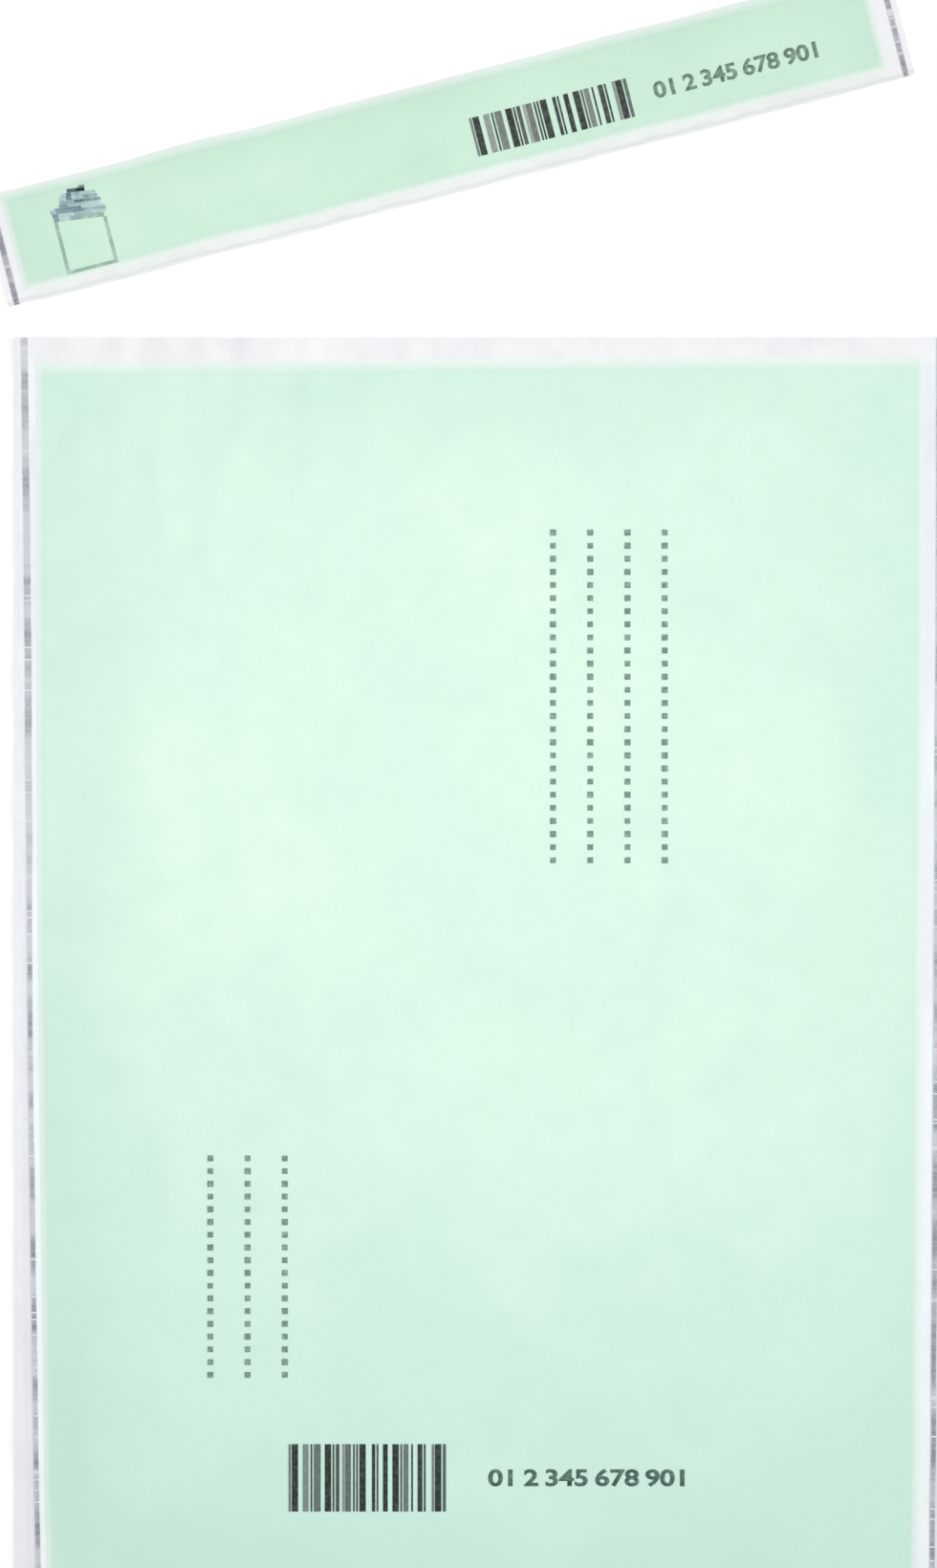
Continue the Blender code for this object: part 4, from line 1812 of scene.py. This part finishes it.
@dataclass
class Pouch(FilmBody):
    """The sealed pouch: film, printed field, weld lines and print.

    Attributes:
        spacing: The grid's widest step in the printed field.
        margin_spacing: The grid's widest step in the margins.
        puff: How far the upper film stands off in the middle.
        puff_reach: How far in from the printed field's edge it takes to rise.
        crisp: How much more sharply the print ends at its sides than at its top.
        bow: How far inwards the left weld bows.
        swells: The long soft waves of the upper film.
        swell_start: The share of the way in at which they have their full height.
        creases: Its single creases.
        crease_start: The same for the creases.
        puckers: The short folds that run down from the top band.
        pucker_start: The same for the puckers.
        pucker_middle: Where along the top band they are strongest.
        pucker_spread: How far from there they are still strong.
        pucker_least: How strong they are far from there, from 0 to 1.
        pucker_reach: How far down from the top band they fade.
        pucker_stretch: How much more slowly they change down the film than across it.
        margin_waves: The waves of the free side margins.
        margin_stretch: How much more slowly they change across the film.
        margin_lift: How high the free margins stand off the floor.
        margin_reach: How far out from the print the film takes to lift.
        band_lift: How high the top band stands off the floor.
        band_ripple: How much stronger the puckers are there.
        band_overlap: How far below the print's top the band's lift begins.
        wander: The unevenness of the film's outline.
    """

    spacing: float = 1.6 * MM
    margin_spacing: float = 0.85 * MM
    puff: float = 1.50 * MM
    puff_reach: float = 38.0 * MM
    crisp: float = 1.75
    bow: float = 0.50 * MM
    swells: tuple = (
        Waves(seed=5, shortest=0.055, longest=0.120, height=0.18 * MM),
        Waves(seed=8, shortest=0.020, longest=0.045, height=0.025 * MM),
    )
    swell_start: float = 0.35
    creases: tuple = (
        Crease(-0.0920, 0.0990, 0.062, 0.0042, -0.26 * MM, turn=-3.0, bow=0.002),
        Crease(-0.0940, 0.0910, 0.050, 0.0030, 0.14 * MM, turn=-1.0, bow=0.001),
        Crease(-0.0938, 0.0573, 0.030, 0.0030, 0.14 * MM, turn=3.0),
        Crease(-0.0890, 0.0215, 0.022, 0.0035, 0.13 * MM, turn=24.0),
        Crease(0.0296, 0.0036, 0.046, 0.0030, 0.13 * MM, turn=-1.0, bow=0.001),
        Crease(0.0884, 0.1467, 0.056, 0.0046, 0.34 * MM, turn=-32.0, bow=0.005),
        Crease(0.0990, 0.1270, 0.040, 0.0036, -0.22 * MM, turn=-40.0, bow=0.003),
        Crease(0.1080, -0.0335, 0.092, 0.0050, 0.24 * MM, turn=88.0, bow=0.002),
        Crease(0.0647, 0.0598, 0.030, 0.0026, 0.09 * MM, turn=86.0),
        Crease(-0.0700, 0.1330, 0.050, 0.0040, 0.22 * MM, turn=80.0, bow=0.002),
        Crease(-0.0860, 0.1360, 0.040, 0.0032, 0.17 * MM, turn=96.0),
        Crease(-0.0440, 0.1450, 0.030, 0.0034, 0.15 * MM, turn=72.0),
        Crease(-0.0470, 0.0010, 0.016, 0.0024, 0.10 * MM, turn=70.0),
        Crease(0.0322, -0.0812, 0.006, 0.0020, 0.13 * MM),
        Crease(-0.0649, -0.1452, 0.006, 0.0018, 0.13 * MM),
        Crease(0.0112, -0.0680, 0.014, 0.0022, -0.10 * MM, turn=84.0),
    )
    crease_start: float = 0.12
    puckers: Waves = Waves(seed=21, shortest=0.008, longest=0.019, height=0.075 * MM, fan=14.0)
    pucker_start: float = 0.08
    pucker_middle: float = -0.078
    pucker_spread: float = 0.055
    pucker_least: float = 0.35
    pucker_reach: float = 26.0 * MM
    pucker_stretch: float = 0.15
    margin_waves: Waves = Waves(seed=34, shortest=0.018, longest=0.050, height=0.15 * MM,
                                heading=90.0, fan=12.0)
    margin_stretch: float = 0.2
    margin_lift: float = 0.25 * MM
    margin_reach: float = 6.0 * MM
    band_lift: float = 0.30 * MM
    band_ripple: float = 1.6
    band_overlap: float = 3.0 * MM
    wander: Waves = Waves(seed=55, shortest=0.030, longest=0.110, height=0.05 * MM)

    def move(self, x: Array, y: Array) -> tuple[Array, Array]:
        """Turn even x and y into the film's own slightly uneven x and y."""
        return x + self.wander.rise(x, y), y + self.wander.rise(y + 0.25, x)

    def grid(self) -> tuple[FilmGrid, slice, slice]:
        """Return the film's grid, and where the printed field lies in it.

        Returns:
            The grid, and the rows and the columns that the field covers.
        """
        body = self.placement.box("pouch")
        outline = FieldOutline.of_node(self.placement, "pouch_colour_field")
        inner = outline.box
        fine = self.margin_spacing
        rows = Steps.between([body.bottom, inner.bottom, inner.top, body.top],
                             [fine, self.spacing, fine * 0.75])
        columns = Steps.between([body.left, inner.left, inner.right, body.right],
                                [fine, self.spacing, fine])
        even = columns.between_lines([body.left, inner.left, inner.right, body.right], 0)
        y = rows.between_lines(
            [body.bottom, inner.bottom, outline.top(even.ravel()), body.top], 0
        )
        x = np.empty_like(y)
        for row in range(len(y)):
            level = float(y[row].mean())
            lines = [body.left, float(outline.left(level)), float(outline.right(level)), body.right]
            x[row] = columns.between_lines(lines, 0).ravel()
        across, down = outline.inset(x, y)
        bottom = self.clear + self.lift(x, y, across, body, outline)
        top = bottom + self.weld + self.rise(x, y, across, down, outline)
        marks = {
            SEAM_ATTRIBUTE: self.from_welds(x, y, self.bow) / MM,
            RIM_ATTRIBUTE: np.minimum(across * self.crisp, down) / MM,
            # the print's painted shade, deeper towards its edges and corners
            INWARD_ATTRIBUTE: inward_share(across, down, self.puff_reach),
        }
        grid = FilmGrid(*self.move(x, y), top, bottom, marks, self.placement)
        within = (slice(steps.marks[1], steps.marks[2] + 1) for steps in (rows, columns))
        return grid, *within

    def rise(self, x: Array, y: Array, across: Array, down: Array, outline: FieldOutline) -> Array:
        """Return how far the upper film stands over the lower one, beyond the weld.

        Args:
            x: The points' x.
            y: The points' y.
            across: Their distance in from the printed field's sides.
            down: Their distance in from its top or bottom.
            outline: The printed field's edges.

        Returns:
            The rise, never below zero.
        """
        side = 1.0 - np.clip(across / self.puff_reach, 0.0, 1.0)
        end = 1.0 - np.clip(down / self.puff_reach, 0.0, 1.0)
        inside = np.clip(1.0 - np.hypot(side, end), 0.0, 1.0)
        rise = self.puff * np.sin(inside * math.pi / 2)
        for swell in self.swells:
            rise = rise + swell.rise(x, y) * smooth_step(inside / self.swell_start)
        for crease in self.creases:
            rise = rise + crease.rise(x, y) * smooth_step(inside / self.crease_start)
        below = np.clip(outline.top(x) - y, 0.0, None) / self.pucker_reach
        apart = (x - self.pucker_middle) / self.pucker_spread
        near = self.pucker_least + (1.0 - self.pucker_least) * np.exp(-(apart ** 2))
        fold = self.puckers.rise(x, y * self.pucker_stretch) * near * np.exp(-below)
        rise = rise + fold * smooth_step(inside / self.pucker_start)
        return np.maximum(rise, 0.0)

    def lift(self, x: Array, y: Array, across: Array, body: Box, outline: FieldOutline) -> Array:
        """Return how far both films stand off the floor together, at the free margins.

        Args:
            x: The points' x.
            y: The points' y.
            across: Their distance in from the printed field's sides.
            body: The pouch's rectangle.
            outline: The printed field's edges.

        Returns:
            The lift, never below zero.
        """
        past_side = smooth_step(-across / self.margin_reach)
        band = body.top - outline.top(x) + self.band_overlap
        past_top = smooth_step((y - outline.top(x) + self.band_overlap) / band)
        waves = self.margin_lift + self.margin_waves.rise(x * self.margin_stretch, y)
        folds = self.puckers.rise(x, y * self.pucker_stretch)
        ripples = self.band_lift + folds * self.band_ripple
        lift = past_side * np.maximum(waves, 0.0) + past_top * np.maximum(ripples, 0.0)
        return np.maximum(lift, 0.0)

    def build(self, trees: PrintTrees, finishes: "Finishes") -> None:
        """Make the film, its printed field, its weld lines and its print.

        Args:
            trees: The geometry node trees.
            finishes: The materials.
        """
        looks = (finishes.film, finishes.field, finishes.weld)
        left = WeldMarks("pouch_left_seam", widen=1.34, narrow=0.30, slant=0.16, bow=self.bow)
        right = WeldMarks("pouch_right_seam", widen=1.10, narrow=0.15, slant=0.32, seed=31)
        press = self.lay(trees, looks, (left, right))
        DottedLines("address_line", lines=4, dots=26).build(press, finishes.dots)
        DottedLines("sender_line", lines=3, dots=18, seed=40).build(press, finishes.dots)
        BarCode("pouch_barcode").build(press, finishes.bars)
        figures = FigureRow("pouch_figures", "pouch_barcode", beside=37.5 * MM, width=52.4 * MM,
                            height=4.7 * MM)
        figures.build(press, finishes.figures)


@dataclass
class ReceiptStrip(FilmBody):
    """The torn-off strip: film, printed field, weld lines, bar code, figures and drawing.

    Attributes:
        spacing: The grid's widest step.
        puff: How far the upper film stands off in the middle.
        end_reach: How far in from its ends it takes to stand off.
        deep_reach: How far in from the printed field's edge its green is deeper, as painted shade.
        deep_end: How far in from its left end it is deeper still, as painted shade.
        crisp: How much more sharply the print ends at its other edges than at its top.
        lip: How far the lower film shows past the upper one along the torn edge.
        lip_share: The lower film's share of the thickness there.
        swells: The soft waves of the upper film.
        ripples: Its shorter waves.
        curl: The waves of both films together, strongest along the long edges.
        curl_lift: How high both films stand off the floor between those waves.
        curl_least: How strong the waves are halfway across, from 0 to 1.
        wander: The unevenness of the film's outline.
    """

    stem: str = "receipt"
    node: str = "receipt_strip"
    field_slot: str = "receipt_green"
    placement: Placement = field(default_factory=lambda: Placement.of_strip("receipt_strip"))
    spacing: float = 1.1 * MM
    puff: float = 0.30 * MM
    end_reach: float = 14.0 * MM
    deep_reach: float = 14.0 * MM
    deep_end: float = 30.0 * MM
    crisp: float = 1.5
    lip: float = 1.1 * MM
    lip_share: float = 0.45
    swells: Waves = Waves(seed=13, shortest=0.030, longest=0.085, height=0.11 * MM, fan=30.0)
    ripples: Waves = Waves(seed=17, shortest=0.016, longest=0.034, height=0.03 * MM)
    curl: Waves = Waves(seed=19, shortest=0.060, longest=0.140, height=0.16 * MM, fan=10.0)
    curl_lift: float = 0.20 * MM
    curl_least: float = 0.35
    wander: Waves = Waves(seed=23, shortest=0.025, longest=0.090, height=0.12 * MM, fan=8.0)

    def move(self, x: Array, y: Array) -> tuple[Array, Array]:
        """Turn even x and y into the film's own slightly uneven x and y."""
        return x, y + self.wander.rise(x, y * 0.0)

    def grid(self) -> tuple[FilmGrid, slice, slice]:
        """Return the film's grid, and where the printed field lies in it.

        Returns:
            The grid, and the rows and the columns that the field covers.
        """
        body = self.placement.box("receipt_strip")
        inner = self.placement.box("receipt_colour_field")
        fine = 0.6 * self.spacing
        row_stops = [body.bottom, body.bottom + self.lip, inner.bottom, inner.top, body.top]
        rows = Steps.between(row_stops, [fine * 0.5, fine, self.spacing, fine])
        column_stops = [body.left, inner.left, inner.right, body.right]
        columns = Steps.between(column_stops, [fine, self.spacing, fine])
        x, y = np.meshgrid(columns.between_lines(column_stops, 0), rows.between_lines(row_stops, 0))
        to_edge = np.minimum(x - body.left, body.right - x) / self.end_reach
        up = np.clip((y - body.bottom) / body.height, 0.0, 1.0)
        free = smooth_step(to_edge) * np.sin(up * math.pi)
        curl = np.maximum(self.curl.rise(x, y) + self.curl_lift, 0.0)
        off_middle = np.abs(2 * up - 1)
        bottom = self.clear + curl * (self.curl_least + (1.0 - self.curl_least) * off_middle)
        rise = self.puff * free + (self.swells.rise(x, y) + self.ripples.rise(x, y)) * free
        step = smooth_step((y - body.bottom) / self.lip)
        thick = self.weld * (self.lip_share + (1.0 - self.lip_share) * step)
        top = bottom + thick + np.maximum(rise, 0.0) * step
        across = np.minimum(x - inner.left, inner.right - x)
        down = np.minimum(inner.top - y, y - inner.bottom)
        rim = np.minimum(inner.top - y, np.minimum(across, y - inner.bottom) * self.crisp)
        marks = {
            SEAM_ATTRIBUTE: self.from_welds(x, y) / MM, RIM_ATTRIBUTE: rim / MM,
            HEM_ATTRIBUTE: (y - body.bottom) / MM,
            # the print's painted shade, deeper towards its edges, corners and left end
            INWARD_ATTRIBUTE: inward_share(across, down, self.deep_reach)
            * smooth_step((x - inner.left) / self.deep_end),
        }
        grid = FilmGrid(*self.move(x, y), top, bottom, marks, self.placement)
        rows_in = slice(rows.marks[2], rows.marks[3] + 1)
        return grid, rows_in, slice(columns.marks[1], columns.marks[2] + 1)

    def build(self, trees: PrintTrees, finishes: "Finishes") -> None:
        """Make the film, its printed field, its weld lines and its print.

        Args:
            trees: The geometry node trees.
            finishes: The materials.
        """
        looks = (finishes.receipt_film, finishes.receipt_field, finishes.strip_weld)
        left = WeldMarks("receipt_left_seam", widen=1.05, seed=61)
        right = WeldMarks("receipt_right_seam", widen=0.95, seed=71)
        press = self.lay(trees, looks, (left, right))
        BarCode("receipt_barcode").build(press, finishes.strip_bars)
        figures = FigureRow("receipt_figures", "receipt_barcode", beside=29.0 * MM,
                            width=45.0 * MM, height=4.6 * MM, up=0.1 * MM)
        figures.build(press, finishes.strip_figures)
        Pictogram().build(press, finishes.drawing)


@dataclass
class Pictogram:
    """A small line drawing: a bag in outline, its striped flap, and a card above it.

    Attributes:
        node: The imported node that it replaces.
        line: Width of the bag's outline.
        flap_share: The share of the height that the flap and the card above it take.
        rows: Their rows from the foot: each row's height, then its strokes, as start and end
            along the flap from 0 to 1 and tone.
        lean: How far the rows fall towards the right, as a share of their length.
        gap: The bare gap between strokes.
        step: The longest side of a flat face, so that lines follow the film.
        cuts: Into how many parts, less one, a longer side is cut.
        insets: How far the bag's outline lies inside the rectangle, at its left, right and foot.
        outline_tone: The tone of the bag's outline.
    """

    node: str = "receipt_pictogram"
    line: float = 0.92 * MM
    flap_share: float = 0.42
    rows: tuple = (
        (1.2, ((0.03, 0.12, 0.52), (0.12, 0.30, 0.76), (0.30, 0.51, 0.64), (0.51, 0.90, 0.98))),
        (0.8, ((0.02, 0.12, 0.44), (0.12, 0.40, 0.80), (0.40, 0.70, 0.64), (0.70, 0.94, 0.74))),
        (0.8, ((0.00, 0.10, 0.62), (0.10, 0.60, 0.46), (0.60, 0.96, 0.62))),
        (0.6, ((0.01, 0.09, 0.76), (0.09, 0.55, 0.42), (0.55, 0.94, 0.78))),
        (0.9, ((0.17, 0.32, 0.50), (0.32, 0.57, 0.66), (0.57, 0.90, 0.80))),
        (0.8, ((0.20, 0.45, 0.60), (0.45, 0.62, 0.44), (0.62, 0.91, 0.54))),
        (1.0, ((0.20, 0.32, 0.78), (0.32, 0.42, 0.42), (0.42, 0.62, 0.74), (0.62, 0.87, 0.60))),
        (0.9, ((0.26, 0.34, 0.76), (0.34, 0.43, 0.34), (0.43, 0.57, 0.62), (0.57, 0.85, 0.78))),
        (1.0, ((0.37, 0.52, 0.20), (0.52, 0.68, 0.00))),
        (0.6, ((0.58, 0.69, 0.44),)),
    )
    lean: float = 0.13
    gap: float = 0.06 * MM
    step: float = 2.5 * MM
    cuts: int = 5
    insets: tuple[float, float, float] = (0.4 * MM, 1.0 * MM, -0.8 * MM)
    outline_tone: float = 0.98

    def quads(self, box: Box) -> list[tuple[float, list[tuple[float, float]]]]:
        """Return the drawing's flat four-sided shapes.

        Args:
            box: The rectangle that the drawing fills.

        Returns:
            The tone and the corners of each shape, anticlockwise.
        """
        from_left, from_right, from_foot = self.insets
        left, right, bottom = box.left + from_left, box.right - from_right, box.bottom + from_foot
        foot = box.top - box.height * self.flap_share
        sides = self.frame_quads(left, bottom, right, foot, self.line)
        shapes = [(self.outline_tone, self.leant(quad, box, foot)) for quad in sides]
        unit = (box.top - foot) / sum(height for height, _ in self.rows)
        low = foot
        for height, strokes in self.rows:
            high = low + height * unit
            for start, stop, tone in strokes:
                near = box.left + start * box.width + self.gap / 2
                far = box.left + stop * box.width - self.gap / 2
                quad = ((near, low + self.gap), (far, low + self.gap), (far, high), (near, high))
                shapes.append((tone, self.leant(quad, box, foot)))
            low = high
        return shapes

    def leant(self, quad: tuple, box: Box, foot: float) -> list[tuple[float, float]]:
        """Return a shape's corners, those from the flap's foot upwards leant to the right.

        Args:
            quad: The corners.
            box: The rectangle that the drawing fills.
            foot: The height of the flap's foot.

        Returns:
            The corners in the same order.
        """
        middle = box.middle[0]
        return [(x, y - self.lean * (x - middle) if y >= foot else y) for x, y in quad]

    @staticmethod
    def frame_quads(left: float, bottom: float, right: float, top: float, line: float) -> list:
        """Return a rectangle's outline, open at its top, as three mitred quads.

        Args:
            left: The outline's left side.
            bottom: Its lower side.
            right: Its right side.
            top: Its upper side.
            line: The line's width.

        Returns:
            Three quads, anticlockwise.
        """
        outer = [(left, top), (left, bottom), (right, bottom), (right, top)]
        inner = [(left + line, top), (left + line, bottom + line),
                 (right - line, bottom + line), (right - line, top)]
        return [[outer[i], outer[i + 1], inner[i + 1], inner[i]] for i in range(3)]

    def flat_mesh(self, box: Box) -> bpy.types.Mesh:
        """Return the drawing as flat faces, cut short enough to follow the film.

        Args:
            box: The rectangle that the drawing fills.

        Returns:
            The flat mesh.
        """
        bm = bmesh.new()
        tone_layer = bm.faces.layers.float.new(TONE_ATTRIBUTE)
        corners = {}
        for tone, quad in self.quads(box):
            verts = []
            for x, y in quad:
                key = (round(x, 7), round(y, 7))
                if key not in corners:
                    corners[key] = bm.verts.new((x, y, 0.0))
                verts.append(corners[key])
            bm.faces.new(verts)[tone_layer] = tone
        long_edges = [edge for edge in bm.edges if edge.calc_length() > self.step]
        bmesh.ops.subdivide_edges(bm, edges=long_edges, cuts=self.cuts, use_grid_fill=True)
        face_up(bm)
        mesh = bpy.data.meshes.new(self.node)
        bm.to_mesh(mesh)
        bm.free()
        return mesh

    def build(self, press: PrintPress, material: bpy.types.Material) -> None:
        """Print the drawing.

        Args:
            press: The press of the film that carries it.
            material: Its ink.
        """
        mesh = self.flat_mesh(press.placement.box(self.node))
        tree = press.trees.flat_print
        piece = press.run(f"{self.node}_lines", tree, Layer.INK, material, {}, mesh)
        dress(piece, "pictogram_blue", self.node)


class Finishes:
    """The materials of the envelope."""

    def __init__(self) -> None:
        """Make each material once."""
        self.film = FilmFinish().material()
        # the receipt film's grey line along its torn edge is painted shade
        self.receipt_film = FilmFinish(
            "receipt_white_film", outer=screen(250, 251, 253), lilac=screen(248, 248, 252),
            inner=screen(253, 255, 255), dim=screen(248, 249, 253), tinted=screen(252, 254, 255),
            beside=screen(238, 247, 243), shade=screen(239, 244, 242), body=screen(245, 250, 248),
            hem_shade=screen(230, 234, 233), hem_width=1.0, band_foot=1.0,
        ).material()
        # the deep greens are painted shade towards the prints' edges, corners and foot, mixed with
        # their own tone
        self.field = FieldFinish(
            "green_print", light=screen(225, 252, 234), deep=screen(206, 242, 225)
        ).material()
        # its line colour is a painted shadow just inside the print's edge
        self.receipt_field = FieldFinish(
            "receipt_green_print", light=screen(213, 246, 224), deep=screen(198, 235, 214),
            rim_width=2.3, line=screen(199, 219, 208),
        ).material()
        self.weld = InkFinish(
            "weld_ink", screen(143, 149, 158), screen(210, 215, 221), grain=1100.0, uneven=0.25
        ).material()
        self.strip_weld = InkFinish(
            "strip_weld_ink", screen(124, 126, 136), screen(188, 190, 200), grain=1100.0, uneven=0.3
        ).material()
        self.dots = InkFinish("dot_ink", screen(112, 140, 134), screen(148, 176, 168)).material()
        self.bars = InkFinish(
            "bar_ink", screen(8, 22, 16), screen(146, 164, 155), uneven=0.15
        ).material()
        self.strip_bars = InkFinish(
            "strip_bar_ink", screen(32, 42, 38), screen(174, 184, 177), uneven=0.15
        ).material()
        self.figures = InkFinish("figure_ink", screen(76, 103, 91), screen(112, 139, 126)).material()
        self.strip_figures = InkFinish(
            "strip_figure_ink", screen(112, 139, 119), screen(148, 174, 155)
        ).material()
        self.drawing = DrawingFinish().material()


@dataclass
class PhotoCamera:
    """A camera that looks straight down and frames the envelope as the photograph does.

    Attributes:
        width_px: The photograph's width.
        height_px: The photograph's height.
        metres_per_px: Real size of one pixel on the pouch.
        pouch_middle_px: The pixel of the pouch's middle, from the photograph's left.
        pouch_top_px: The pixel row of the pouch's top edge.
        distance: Height of the camera over the floor.
        sensor: The sensor's height in millimetres.
    """

    width_px: int = 980
    height_px: int = 1640
    metres_per_px: float = 0.0002556
    pouch_middle_px: float = 504.0
    pouch_top_px: float = 353.5
    distance: float = 1.6
    sensor: float = 36.0

    def build(self) -> None:
        """Make the camera and set it as the scene's."""
        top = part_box("pouch")[1][1]
        x = (self.width_px / 2 - self.pouch_middle_px) * self.metres_per_px
        y = top - (self.height_px / 2 - self.pouch_top_px) * self.metres_per_px
        data = bpy.data.cameras.new("photo_camera")
        data.sensor_fit = "VERTICAL"
        data.sensor_height = self.sensor
        data.lens = self.sensor * self.distance / (self.height_px * self.metres_per_px)
        data.clip_start = 0.01
        data.clip_end = 50.0
        camera = bpy.data.objects.new("photo_camera", data)
        camera.location = (x, y, self.distance)
        bpy.context.scene.collection.objects.link(camera)
        bpy.context.scene.camera = camera
        LOG.info("camera at %.4f %.4f, lens %.1f mm", x, y, data.lens)


@dataclass
class Studio:
    """A pale floor, a plain bright room and soft lamps.

    Attributes:
        room: Strength of the even light from all around.
        floor_colour: The floor's own colour.
        floor_glow: Added to what the camera sees of the floor, to make it white.
        floor_size: Half the floor's width.
        overhead: Brightness that the overhead lamp gives a white sheet under it.
        overhead_place: Where it hangs.
        overhead_size: Its width.
        key: Brightness that the side lamp gives a white sheet facing it.
        key_place: Where it stands.
        key_size: Its width.
        key_target: Where it points.
    """

    room: float = 0.39
    floor_colour: Colour = (0.40, 0.40, 0.40, 1.0)
    floor_glow: float = 0.65
    floor_size: float = 3.0
    overhead: float = 0.475
    overhead_place: tuple = (-0.030, 0.066, 0.72)
    overhead_size: float = 0.50
    key: float = 0.30
    key_place: tuple = (2.50, 0.45, 1.50)
    key_size: float = 0.70
    key_target: tuple = (0.0, 0.03, 0.0)

    def build(self) -> None:
        """Make the floor, the room's light and the lamps."""
        self.make_floor()
        self.make_room()
        below = Vector((self.overhead_place[0], self.overhead_place[1], 0.0))
        self.make_lamp("overhead_lamp", self.overhead_place, self.overhead_size, self.overhead, below)
        self.make_lamp("key_lamp", self.key_place, self.key_size, self.key, Vector(self.key_target))
        bpy.context.scene.view_settings.view_transform = "Standard"

    def make_floor(self) -> None:
        """Make a wide pale floor that looks white but keeps shadows."""
        bm = bmesh.new()
        bmesh.ops.create_grid(bm, x_segments=8, y_segments=8, size=self.floor_size)
        mesh = bpy.data.meshes.new("floor")
        bm.to_mesh(mesh)
        bm.free()
        shade = ShaderBuilder("pale_floor")
        shade.shader.inputs["Base Color"].default_value = self.floor_colour
        shade.shader.inputs["Roughness"].default_value = 0.95
        shade.shader.inputs["Specular IOR Level"].default_value = 0.0
        seen = self.seen_as_backdrop(shade)
        glow = shade.add("ShaderNodeEmission", {
            "Color": (1.0, 1.0, 1.0, 1.0), "Strength": shade.math("MULTIPLY", seen, self.floor_glow),
        })
        both = shade.add("ShaderNodeAddShader", {0: shade.shader.outputs[0], 1: glow.outputs[0]})
        output = shade.tree.nodes["Material Output"]
        shade.tree.links.new(both.outputs[0], output.inputs["Surface"])
        floor = plain_object("floor", mesh, shade.material)

    @staticmethod
    def seen_as_backdrop(build: NodeBuilder) -> bpy.types.NodeSocket:
        """Return 1 for a ray from the camera, off a shine or through glass, and else 0.

        Args:
            build: The builder of the material or the world.

        Returns:
            The number.
        """
        paths = build.add("ShaderNodeLightPath")
        seen = build.math("MAXIMUM", paths.outputs["Is Camera Ray"], paths.outputs["Is Glossy Ray"])
        return build.math("MAXIMUM", seen, paths.outputs["Is Transmission Ray"])

    def make_room(self) -> None:
        """Light the room evenly, and show it white to the camera and in reflections."""
        world = bpy.data.worlds.new("bright_room")
        world.use_nodes = True
        build = NodeBuilder(world.node_tree)
        background = world.node_tree.nodes["Background"]
        background.inputs["Color"].default_value = (1.0, 1.0, 1.0, 1.0)
        seen = self.seen_as_backdrop(build)
        strength = build.math("MULTIPLY_ADD", seen, 1.0 - self.room, self.room)
        world.node_tree.links.new(strength, background.inputs["Strength"])
        bpy.context.scene.world = world

    @staticmethod
    def make_lamp(name: str, place: tuple, size: float, share: float, target: Vector) -> None:
        """Make a square lamp that gives a share of full light at its target.

        Args:
            name: The lamp's name.
            place: Where it hangs.
            size: Its side.
            share: The brightness that it alone gives a white sheet facing it at the target.
            target: Where it points.
        """
        data = bpy.data.lights.new(name, "AREA")
        data.shape = "SQUARE"
        data.size = size
        aim = target - Vector(place)
        data.energy = share * math.pi ** 2 * aim.length_squared
        lamp = bpy.data.objects.new(name, data)
        turn = aim.to_track_quat("-Z", "Y").to_matrix().to_4x4()
        lamp.matrix_world = Matrix.Translation(place) @ turn
        bpy.context.scene.collection.objects.link(lamp)


def main() -> None:
    """Build the camera, the envelope and the studio, in that order."""
    logging.basicConfig(level=logging.INFO, format="%(name)s: %(message)s")
    PhotoCamera().build()
    finishes = Finishes()
    trees = PrintTrees()
    Pouch().build(trees, finishes)
    ReceiptStrip().build(trees, finishes)
    Studio().build()


if __name__ == "__main__":
    main()
